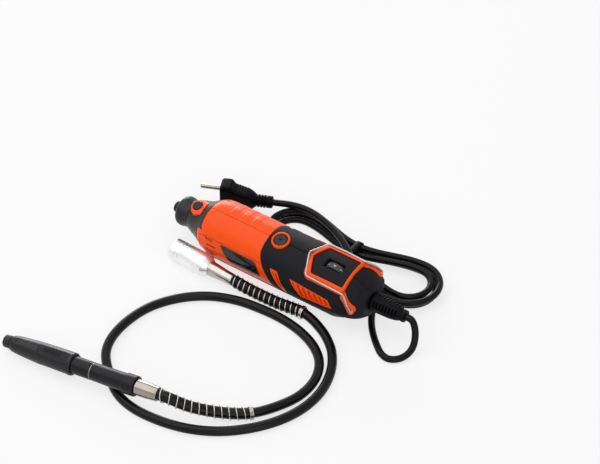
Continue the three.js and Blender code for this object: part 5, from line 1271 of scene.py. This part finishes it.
SCREWS = ((118, 15), (113.5, -16), (152, -15), (181, -13.5))
VENTS = (((123.9, 14.9), (132.4, 14.8), (140.4, -0.9), (143.4, -7), (138.0, -7), (133.2, 0.2)),
         ((145.2, 13.8), (186.6, 11.3), (191.8, 3.5), (158.0, -0.9)))


def screw_wells() -> Solid:
    """Round wells of the far side's screws."""
    return merged(*(prism(circle(x, z, 3.2, 40), 14, 40, "y") for x, z in SCREWS))


def grown(outline: Sequence[Sequence[float]], margin: float) -> Array:
    """Outline with each edge moved out by a margin and mitred corners."""
    p = np.array(outline, float)
    ahead = np.roll(p, -1, 0) - p
    area = np.sum(p[:, 0] * np.roll(p[:, 1], -1) - np.roll(p[:, 0], -1) * p[:, 1])
    normal = np.stack([ahead[:, 1], -ahead[:, 0]], -1) * np.sign(area)
    normal = normal / np.linalg.norm(ahead, axis=1)[:, None]
    before = np.roll(normal, 1, 0)
    reach = margin / (1 + np.sum(normal * before, axis=1))
    return p + (normal + before) * reach[:, None]


@dataclass
class Overmould:
    """Soft charcoal skin over the rear of the handle, with the orange vents that show through it."""

    skin: float = 1.5
    end: float = 216.6

    def half(self, side: int) -> Solid:
        """One half of the skin, its edges rolled in at the boundary, the seams and the tail."""
        angle, seam = (column[None] for column in half_angles(side))
        start = boundary(angle) + 0.15
        rows = [(start + step, drop) for step, drop in ((0, -0.4), (0.1, -0.2), (0.25, -0.06), (0.5, 0.0))]
        rows += [(blend(start + 0.5, 186, share), 0.0) for share in np.linspace(0, 1, 60)[1:]]
        stations = [*np.arange(187, self.end - 0.5, 0.6), self.end - 0.4, self.end - 0.15, self.end]
        rows += [(np.full_like(start, x), -0.3 * max(0.0, 1 - (self.end - x) / 0.4) ** 2) for x in stations]
        x, offset = stacked(rows)
        offset = offset - 0.8 * (1 - np.clip(seam, 0, 1)) ** 2
        within = np.where(x > 213, 213 + (x - 213) * 0.5, x)
        outer, inner = BODY.point(x, angle, offset), BODY.point(within, angle, -self.skin)
        wall = []
        for skin_rows, at in ((outer, self.end + 0.1), (inner, float(within[-1, 0]) + 0.05)):
            face = np.stack([skin_rows[-1] * (1 - t) + t * skin_rows[-1] * np.array([1, 0.55, 0.55])
                             for t in np.linspace(0, 1, 6)[1:]])
            face[..., 0] = at
            wall.append(np.concatenate([skin_rows, face]))
        return sheet(wall[0], wall[1])

    def build(self) -> None:
        """Both halves, cut open for vents, panel, brush ports and screws, and the vent inserts."""
        panel = prism(fillet(SpeedPanel().corners(3.6), 1.5, 4, closed=True), 10, 40)
        port = prism(circle(PORT_X, 0, 8.7, 64), -40, 40)
        for side, node in ((1, "grip_left"), (-1, "grip_right")):
            low, high = sorted((0.0, -side * 32.0))
            vents = merged(*(prism(fillet(grown(v, 0.35), 1.1, 4, closed=True), low, high, "y")
                             for v in self.windows(side)))
            cuts = [("DIFFERENCE", vents), ("DIFFERENCE", port), ("DIFFERENCE", panel)]
            if side < 0:
                cuts.append(("DIFFERENCE", screw_wells()))
            dress(carved(f"{node}_skin", self.half(side), *cuts), TOOL, OVERMOULD, "tool_body", "overmould",
                  node, crease=30)
        for side, node in ((1, "housing_left"), (-1, "housing_right")):
            for number, vent in enumerate(self.windows(side), 1):
                self.build_insert(side, node, number, vent)

    def windows(self, side: int) -> tuple:
        """Outlines of one side's vents; the far side's long one starts with a higher tip."""
        tip = ((142.6, 18.6), (146.6, 15.8), (150.5, 12.3), (186.6, 10.4))
        return VENTS if side > 0 else (VENTS[0], (*tip, *VENTS[1][2:]))

    def build_insert(self, side: int, node: str, number: int, vent: tuple) -> None:
        """Orange insert in one vent window, with slanted slots cut through it."""
        low, high = sorted((side * 38.0, side * 112.0))
        proud = 0.45 if side < 0 and number == 2 else -0.35
        band = BODY.band(118, 196, (low, high), proud, -1.7, 0.7)
        shape = prism(fillet(grown(vent, -0.1), 1.0, 4, closed=True), -34, 34, "y")
        starts, top, bottom, width, slant = (126.2, 129.8), 12.6, -1.0, 2.0, 6.6
        if number == 2:
            starts, top, bottom, width, slant = np.arange(146.5, 184, 5.6), 14, -1.5, 2.9, 8.0
        bars = [((x, top), (x + width, top), (x + width + slant, bottom), (x + slant, bottom))
                for x in starts]
        low, high = sorted((-side * 14.0, -side * 34.0))
        slots = merged(*(prism(np.array(bar), low, high, "y") for bar in bars))
        inset = prism(fillet(grown(vent, -1.3), 0.8, 4, closed=True), low, high, "y")
        slots_piece = carved(f"slots_{number}", slots, ("INTERSECT", inset))
        cutter = Solid(np.array([v.co for v in slots_piece.data.vertices]),
                       [list(p.vertices) for p in slots_piece.data.polygons])
        bpy.data.objects.remove(slots_piece)
        name = f"vent_insert_{number}_{'near' if side > 0 else 'far'}"
        dress(carved(name, band, ("INTERSECT", shape), ("DIFFERENCE", cutter)), TOOL, RIM_ORANGE,
              "tool_body", "clamshell", node, crease=28)


# ---------------------------------------------------------------------------- nose
@dataclass
class Nose:
    """Black front housing with its brow over the shell, the screw cap, collet and spindle lock."""

    outer: tuple = ((22.1, 13.4), (28, 15.9), (34, 18.3), *NOSE)
    lock_x: float = 29.4
    well_radius: float = 4.8       # of the lock's well in the housing and in its bezel

    def housing(self) -> Solid:
        """Turned nose whose rear edge follows the shell's front edge, ring by ring."""
        angle = round_turn(240)[None]
        rear = front_edge(angle) - 0.22
        snout = ((13.0, 10.2), (13.4, 10.6), (21.8, 10.6), (21.9, 12.9), (22.15, 13.45))
        inside = ((46.0, 18.0), (46.0, 9.8), (35.7, 9.8), (35.7, 4.6), (13.0, 4.6))
        skin = [np.full_like(angle, x) for x in np.linspace(22.4, 38.5, 40)]
        skin += [blend(38.5, rear - 0.5, share) for share in np.linspace(0, 1, 14)[1:]]
        rows = [(np.full_like(angle, x), np.full_like(angle, r)) for x, r in snout]
        rows += [(row, read(self.outer, row)) for row in skin]
        rows += [(rear - step, read(self.outer, rear - step) - drop)
                 for step, drop in ((0.25, 0.03), (0.08, 0.14), (0.0, 0.4))]
        rows += [(rear, np.full_like(angle, inside[0][1]))]
        rows += [(np.full_like(angle, x), np.full_like(angle, r)) for x, r in inside]
        x, r = (np.concatenate(part) for part in zip(*rows))
        return lofted(around_x(x, r, angle), loop=True)

    def build(self) -> None:
        """All pieces in front of the shell."""
        cuts = [("DIFFERENCE", prism(circle(self.lock_x, 0, self.well_radius), 12.6, 30)),
                ("DIFFERENCE", prism(circle(self.lock_x, 0, 2.05, 32), 2, 14))]
        dress(carved("front_housing_moulded", self.housing(), *cuts), TOOL, NOSE_BLACK, "tool_body",
              "black_moulding", "front_housing", crease=30)
        skin = fillet([(6.8, 8.4), (7.0, 10.0), (8.4, 12.5), (10.4, 13.75), (13, 14.05), (16.4, 13.4),
                       (19, 12.85), (21.3, 13.2)], 1.3, 8)
        tail = [(21.5, 13.05), (21.6, 12.8), (21.6, 10.9), (11.5, 10.9), (10.5, 6), (7.2, 6), (6.8, 6.4)]
        made("nose_cap_turned", lathe(np.concatenate([skin, tail]), 120), TOOL, CAP_BLACK, "nose_cap",
             "black_moulding", "nose_cap")
        self.build_collet()
        self.build_lock()

    def build_collet(self) -> None:
        """Collet nut with wrench flutes, and the split collet in its mouth."""
        angle = round_turn(96)
        profile = fillet([(0.2, 2.2), (0.2, 3.6), (1.1, 5.1), (1.9, 5.25), (10, 5.25), (10, 3.7), (4.7, 3.7),
                          (4.7, 3.45), (2.8, 3.45), (1.1, 2.75)], 0.3, 3, closed=True)
        flute = np.where((profile[:, 0] > 1.5) & (profile[:, 1] > 4.5), 1.0, 0.0)[:, None]
        wobble = 1 - 0.07 * flute * (0.5 + 0.5 * np.cos(6 * angle)) ** 8
        made("collet_nut_fluted", lathe(profile, 96, wobble), TOOL, BLUED, "spindle_group", "black_moulding",
             "collet_nut")
        outer = [(1.0, 2.4), (2.8, 3.1), (3.4, 3.1), (4.7, 2.2), (13.2, 2.2)]
        ring = lathe(tube_profile(outer, [(1.0, 1.6), (13.2, 1.6)], 0.25), 48)
        slots = [("DIFFERENCE", moved(block((0, 8), (-6, 6), (-0.25, 0.25)), Matrix.Rotation(turn, 4, "X")))
                 for turn in (0, np.pi / 2)]
        dress(carved("collet_split", ring, *slots), TOOL, STEEL, "spindle_group", "steel", "collet")

    def build_lock(self) -> None:
        """Orange six-sided bezel, crowned like the nose, and the round button in it."""
        corners = [(23.7, 2.6), (26, 6.6), (30, 8.5), (37.8, 7)]
        corners += [(x, -y) for x, y in reversed(corners)]
        outline = fillet(corners, 0.9, 4, closed=True, edge_steps=6)
        turn = np.arctan2(outline[:, 1], outline[:, 0] - self.lock_x)
        hole = np.stack([np.cos(turn), np.sin(turn)], -1) * self.well_radius + (self.lock_x, 0)
        rows = []
        for share, drop in ((0, 6.0), (0, 0.5), (0.05, 0.12), (0.14, 0.0), (0.4, 0.0), (0.7, 0.0),
                            (0.86, 0.0), (0.96, 0.1), (1, 0.4), (1, 6.0)):
            flat = blend(outline, hole, share)
            crown = np.interp(flat[:, 0], (0, 22, 33, 38), (18.4, 18.4, 19.5, 20.9))
            z = np.sqrt(crown ** 2 - flat[:, 1] ** 2) - drop
            rows.append(np.stack([flat[:, 0], flat[:, 1], z], -1))
        made("lock_bezel_crowned", lofted(np.stack(rows), loop=True), TOOL, RIM_ORANGE, "tool_body",
             "clamshell", "lock_bezel")
        up = TOOL @ Matrix.Translation((self.lock_x, 0, 0)) @ Matrix.Rotation(-math.pi / 2, 4, "Y")
        button = fillet([(5.3, 0), (5.3, 1.8), (16.3, 1.8), (16.3, 4.5), (19.3, 4.5), (19.9, 3.8),
                         (19.75, 2.4), (19.6, 0)], 0.35, 4)
        made("lock_button_domed", lathe(button, 72), up, BUTTON_BLACK, "lock_button", "black_moulding",
             "lock_button")


# ---------------------------------------------------------------------------- brush port
def build_brush_port() -> None:
    """Orange ring and slotted black cap of the upper brush port."""
    up = Matrix.Translation((PORT_X, 0, 0)) @ Matrix.Rotation(-math.pi / 2, 4, "Y")
    ring = fillet([(20, 6.4), (28.3, 6.4), (29.0, 6.9), (29.2, 7.4), (28.9, 8.0), (28.2, 8.5), (20, 8.5)],
                  0.5, 4, closed=True)
    made("brush_ring_top_rim", lathe(ring, 96), TOOL @ up, RIM_ORANGE, "tool_body", "clamshell",
         "brush_ring_top")
    cap = lathe(fillet([(21.9, 0), (21.9, 6.1), (27.9, 6.1), (28.4, 5.5), (28.4, 0)], 0.3, 4), 96)
    slot = block((27.0, 30), (-0.65, 0.65), (-1.9, 1.9))
    dress(carved("brush_cap_top_slotted", cap, ("DIFFERENCE", slot)), TOOL @ up, BUTTON_BLACK, "tool_body",
          "black_moulding", "brush_cap_top")


# ---------------------------------------------------------------------------- panel and bail
@dataclass
class SpeedPanel:
    """House-shaped black panel with its bevelled window, orange frame, numbered dial and wire bail."""

    apex: float = 158.5
    front: float = 165.2
    rear: float = 198.0
    half: float = 14.9
    flattening: float = 1.1        # further rise at the panel's sides
    window: tuple[float, float, float] = (171.6, 189.2, 4.3)
    dial_radius: float = 11.0
    dial_centre: tuple[float, float] = (180.4, 17.2)
    wire: float = 1.0
    pivot: tuple[float, float] = (211.0, 9.5)
    ear: tuple = ((198.6, 22.8), (201.4, 21.0), (206.6, 15.8), (211.4, 11.8), (213.0, 9.3), (212.2, 6.9),
                  (209.4, 6.7), (207.4, 10.2), (203.7, 16.0), (198.6, 19.8))

    def corners(self, margin: float) -> list[tuple[float, float]]:
        """Corners of the panel grown by a margin."""
        apex, front = self.apex - 0.95 * margin, self.front - 1.5 * margin
        rear, half = self.rear + 0.55 * margin, self.half + margin
        return [(apex, 0), (front, half), (rear, half), (rear, -half), (front, -half)]

    def outline(self, margin: float) -> Array:
        """The same with rounded corners, always of one count."""
        return fillet(self.corners(margin), 1.6 + 0.5 * margin, 8, closed=True, edge_steps=36)

    def raised(self, flat: Array, rise: float) -> Array:
        """Points over a flat outline at a rise above the handle, with a flatter crown than the handle's."""
        flatter = self.flattening * np.minimum(flat[:, 1] / self.half, 1.0) ** 2 * (rise > 0)
        return BODY.above(flat[:, 0], flat[:, 1], rise + flatter)

    def rim(self, rows: Sequence[tuple[float, float]]) -> Array:
        """Rows round the panel, one for each margin and rise above the handle."""
        return np.stack([self.raised(self.outline(margin), rise) for margin, rise in rows])

    def bail_path(self) -> Array:
        """Centre of the bail wire: out of one ear, round the panel's apex and into the other ear."""
        angle = math.atan2(1, self.pivot[1] / float(BODY.radius(np.array(self.pivot[0]), np.radians(65.0))))
        r = float(BODY.radius(np.array(self.pivot[0]), np.array(angle))) + FRAME_RISE
        reach = math.sqrt(r * r - self.pivot[1] ** 2) + self.wire + 0.3
        halves = []
        for side in (1, -1):
            rows = [BODY.point(np.array(x), np.array(side * math.radians(a)), 3.7)
                    for x, a in ((154.3, 0), (161.7, 37.2), (180, 38.4), (201.3, 39.8), (206.8, 55))]
            x, z = self.pivot
            rows += [np.array([x, -side * reach, z]), np.array([x, -side * (reach - 2.6), z])]
            halves.append(np.array(rows))
        return even(fillet(np.concatenate([halves[1][:0:-1], halves[0]]), 2.6, 8, edge_steps=10), 0.6)

    def build(self) -> None:
        """Frame, ears, panel, dial and bail."""
        hole = circle(*self.pivot, self.wire + 0.3, 40)
        rim = self.rim([(0.12, -1.6), (0.12, 1.5), (0.22, 1.95), (0.5, FRAME_RISE), (2.4, FRAME_RISE),
                        (3.5, 1.8), (3.85, 1.4), (4.0, 0.9), (4.05, 0.2), (4.05, -1.4)])
        made("panel_frame_rim", lofted(rim, loop=True), TOOL, RIM_ORANGE, "tool_body", "clamshell",
             "panel_frame", crease=28)
        for side, name in ((1, "near"), (-1, "far")):
            low, high = sorted((side * 20.0, side * 100.0))
            band = BODY.band(194, 215.6, (low, high), FRAME_RISE, -0.6, 0.5)
            low, high = sorted((-side * 2.0, -side * 40.0))
            steps = (("INTERSECT", prism(fillet(self.ear, 1.2, 4, closed=True), low, high, "y")),
                     ("DIFFERENCE", prism(hole, low, high, "y")))
            dress(carved(f"panel_ear_{name}", band, *steps), TOOL, RIM_ORANGE, "tool_body", "clamshell",
                  "panel_frame", crease=28)
        self.build_panel()
        self.build_dial()
        made("bail_wire_bent", swept_free(self.bail_path(), self.wire, 20), TOOL, WIRE, "hanging_bail",
             "steel", "hanging_bail")

    def build_panel(self) -> None:
        """Panel plate with a bevelled window."""
        grid = list(self.rim([(-0.3, -1.0), (-0.3, 0.8), (-0.4, 1.1), (-0.65, 1.28), (-1.0, PANEL_RISE)]))
        centre = np.array([(self.window[0] + self.window[1]) / 2, 0])
        edge = self.outline(-1.0)
        grid += [self.raised(blend(edge, centre, share), PANEL_RISE) for share in np.linspace(0, 1, 14)[1:-1]]
        under = blend(self.outline(-0.3), centre, 0.98)
        grid.append(np.stack([under[:, 0], under[:, 1], np.full(len(under), 24.0)], -1))
        x0, x1, h = self.window
        hole = fillet([(x0, -h), (x1, -h), (x1, h), (x0, h)], 0.7, 4, closed=True)
        wide = fillet([(x0 - 1.8, -h - 1.0), (x1 + 1.2, -h - 1.0), (x1 + 1.2, h + 1.2), (x0 - 1.8, h + 1.2)],
                      1.3, 4, closed=True)
        levels = ((20.0, hole), (27.3, hole), (28.75, wide), (33.0, wide))
        frustum = lofted(np.stack([np.stack([o[:, 0], o[:, 1], np.full(len(o), z)], -1) for z, o in levels]),
                         ngon=True)
        dress(carved("speed_panel_plate", lofted(np.stack(grid)), ("DIFFERENCE", frustum)), TOOL, PANEL_BLACK,
              "tool_body", "black_moulding", "speed_panel", crease=28)

    def build_dial(self) -> None:
        """Thumb wheel with fluted edges and printed numbers round its rim."""
        angle = round_turn(360)
        knurl = (0.5 - 0.5 * np.cos(60 * angle)) ** 1.5
        edge = [(2.2, 0.25, 0), (2.35, 0.0, 1), (2.75, 0.0, 1), (3.0, 0.4, 1), (3.1, 1.1, 0)]
        rows = [(-y, drop, fluted) for y, drop, fluted in reversed(edge)] + [(0, 0.2, 0)] + edge
        rows += [(3.1, 8.7, 0), (-3.1, 8.7, 0)]
        radius = np.stack([self.dial_radius - drop - 0.4 * fluted * knurl for _, drop, fluted in rows])
        y = np.broadcast_to(np.array([row[0] for row in rows])[:, None], radius.shape)
        cx, cz = self.dial_centre
        wheel = lofted(np.stack([cx + radius * np.sin(angle), y, cz + radius * np.cos(angle)], -1), loop=True)
        made("speed_dial_wheel", wheel, TOOL, DIAL_GREY, "speed_dial", "dial", "speed_dial")
        for number in range(1, 8):
            self.build_mark(str(number), (number - 4) * 38.0)

    def build_mark(self, text: str, degrees: float) -> None:
        """One number wrapped round the wheel: (u, v) of the glyph goes to the angle v / r and to y = u."""
        curve = bpy.data.curves.new("mark", "FONT")
        curve.body = text
        curve.size = 4.0
        curve.align_x, curve.align_y = "CENTER", "CENTER"
        curve.extrude = 0.06
        holder = bpy.data.objects.new("mark", curve)
        bpy.context.scene.collection.objects.link(holder)
        bpy.context.view_layer.update()
        mesh = bpy.data.meshes.new_from_object(holder)
        bpy.data.objects.remove(holder)
        work = bmesh.new()
        work.from_mesh(mesh)
        bmesh.ops.remove_doubles(work, verts=work.verts, dist=1e-4)
        bmesh.ops.subdivide_edges(work, edges=[e for e in work.edges if e.calc_length() > 1.0], cuts=2)
        bmesh.ops.triangulate(work, faces=work.faces)
        work.to_mesh(mesh)
        work.free()
        local = np.empty(len(mesh.vertices) * 3)
        mesh.vertices.foreach_get("co", local)
        u, v, w = local.reshape(-1, 3).T
        ground = self.dial_radius - 0.16
        radius = ground + w
        turn = math.radians(degrees) + v / ground
        cx, cz = self.dial_centre
        points = np.stack([cx + radius * np.sin(turn), u, cz + radius * np.cos(turn)], -1)
        mesh.vertices.foreach_set("co", points.ravel())
        mesh.update()
        piece = bpy.data.objects.new(f"dial_number_{text}", mesh)
        bpy.context.scene.collection.objects.link(piece)
        solid = Solid(points, [list(p.vertices) for p in mesh.polygons])
        if solid.oriented() is not solid:
            mesh.flip_normals()
        dress(piece, TOOL, DIAL_MARK, "speed_dial", "dial", "speed_dial")


def swept_free(path: Array, radius: float, sides: int) -> Solid:
    """Tube on a path that also rises: each ring is square to it and turned after one slanting direction.

    Args:
        path: centreline in the tool's frame.
        radius: of the tube.
        sides: columns round it.

    Returns:
        The closed tube with domed ends.
    """
    tangent = unit(np.gradient(path, axis=0))
    normal = unit(np.cross(tangent, [0.62, 0.0, 0.78]))
    across = np.cross(tangent, normal)
    dome = np.linspace(0.1, 1, 5) * np.pi / 2
    spread = np.concatenate([np.sin(dome)[:-1], np.ones(len(path)), np.sin(dome[::-1])[1:]]) * radius
    head = path[0] - tangent[0] * np.cos(dome)[:-1, None] * radius
    tail = path[-1] + tangent[-1] * np.cos(dome[::-1])[1:, None] * radius
    line = np.concatenate([head, path, tail])
    pad = (len(dome) - 1, len(dome) - 1)
    normal = np.pad(normal, (pad, (0, 0)), mode="edge")
    across = np.pad(across, (pad, (0, 0)), mode="edge")
    return tube(line, normal, across, spread, sides)


# ---------------------------------------------------------------------------- tail and fasteners
@dataclass
class Tail:
    """Slotted, tapered boot round the cord, and the far side's screws."""

    start: float = 217.3
    slots: int = 8
    screw_seat: float = BODY_RADIUS - 4.3      # distance of the screws' seats from the tool's axis

    def build(self) -> None:
        """Boot with four rows of slots, and four cross-recess screws."""
        outer = [(0, 8.3), (1.0, 8.9), (2.6, 8.9), (3.4, 8.5), (17, 8.0), (24, 7.1), (27, 6.2), (29.6, 5.05),
                 (30.0, 5.1)]
        x = np.linspace(0, 30, 70)
        skin = np.stack([self.start + x, read(outer, x)], -1)
        collar = [(self.start + x, r) for x, r in ((30.0, 5.6), (32.6, 5.5), (33, 5.0), (33, 0))]
        profile = np.concatenate([[(208.5, 0), (208.5, 6.2), (self.start, 6.2)], skin, collar])
        boot = lathe(profile, 96)
        cuts = []
        for number in range(self.slots):
            at = self.start + 3.4 + 3.05 * number
            deep = float(read(outer, np.array(at - self.start))) - 2.0
            corners = [(at, -3.1), (at + 1.35, -3.1), (at + 1.35, 3.1), (at, 3.1)]
            outline = fillet(corners, 0.6, 3, closed=True)
            for turn in (45, 135, 225, 315):
                cuts.append(moved(prism(outline, deep, 14), Matrix.Rotation(math.radians(turn), 4, "X")))
        dress(carved("strain_relief_boot", boot, ("DIFFERENCE", merged(*cuts))), TOOL, RELIEF_BLACK,
              "tool_body", "cord_rubber", "strain_relief", crease=30)
        for number, (x, z) in enumerate(SCREWS, 1):
            seat = math.sqrt(self.screw_seat ** 2 - z * z)
            place = TOOL @ Matrix.Translation((x, seat, z)) @ Matrix.Rotation(math.pi / 2, 4, "Z")
            head = lathe(fillet([(0, 0), (0, 2.9), (1.2, 2.9), (2.0, 1.9), (2.2, 0)], 0.5, 4), 48)
            narrow, long = (-0.4, 0.4), (-1.7, 1.7)
            cross = [("DIFFERENCE", block((1.1, 4), *arm)) for arm in ((narrow, long), (long, narrow))]
            dress(carved(f"housing_screw_{number}_head", head, *cross), place, STEEL, "tool_body", "steel",
                  f"housing_screw_{number}")


# ---------------------------------------------------------------------------- kept solids
KEPT: dict[Finish, tuple[str, ...]] = {
    STEEL: ("spindle", "front_bearing", "rear_bearing", "armature_core", "field_core", "handpiece_spindle"),
    COPPER: ("armature_winding", "commutator", "field_coil_top", "field_coil_bottom"),
    BRASS: ("brush_holder_top", "brush_holder_bottom"),
    CARBON: ("carbon_brush_top", "carbon_brush_bottom"),
    FAN_GREY: ("cooling_fan", "speed_potentiometer"),
    BOARD: ("control_board",),
    BUTTON_BLACK: ("brush_cap_bottom",),
    RIM_ORANGE: ("brush_ring_bottom",),
}


def dress_kept_solids() -> None:
    """Give the CAD solids that stay their finishes."""
    for finish, names in KEPT.items():
        for name in names:
            finish.put_on(bpy.data.objects[name])
            LOG.info("%s kept from the frame", name)


def main() -> None:
    """Build the studio, then each sub-assembly in order."""
    logging.basicConfig(level=logging.INFO, format="%(message)s")
    studio = Studio()
    studio.build_camera()
    shaft, cord = FlexibleShaft(), PowerCord()
    shaft.build_hose()
    cord.build()
    studio.build_light()
    studio.build_floor()
    shaft.build_springs()
    shaft.build_coupling()
    shaft.build_handpiece()
    Clamshell().build()
    Overmould().build()
    Nose().build()
    build_brush_port()
    SpeedPanel().build()
    Tail().build()
    dress_kept_solids()


if __name__ == "__main__":
    main()
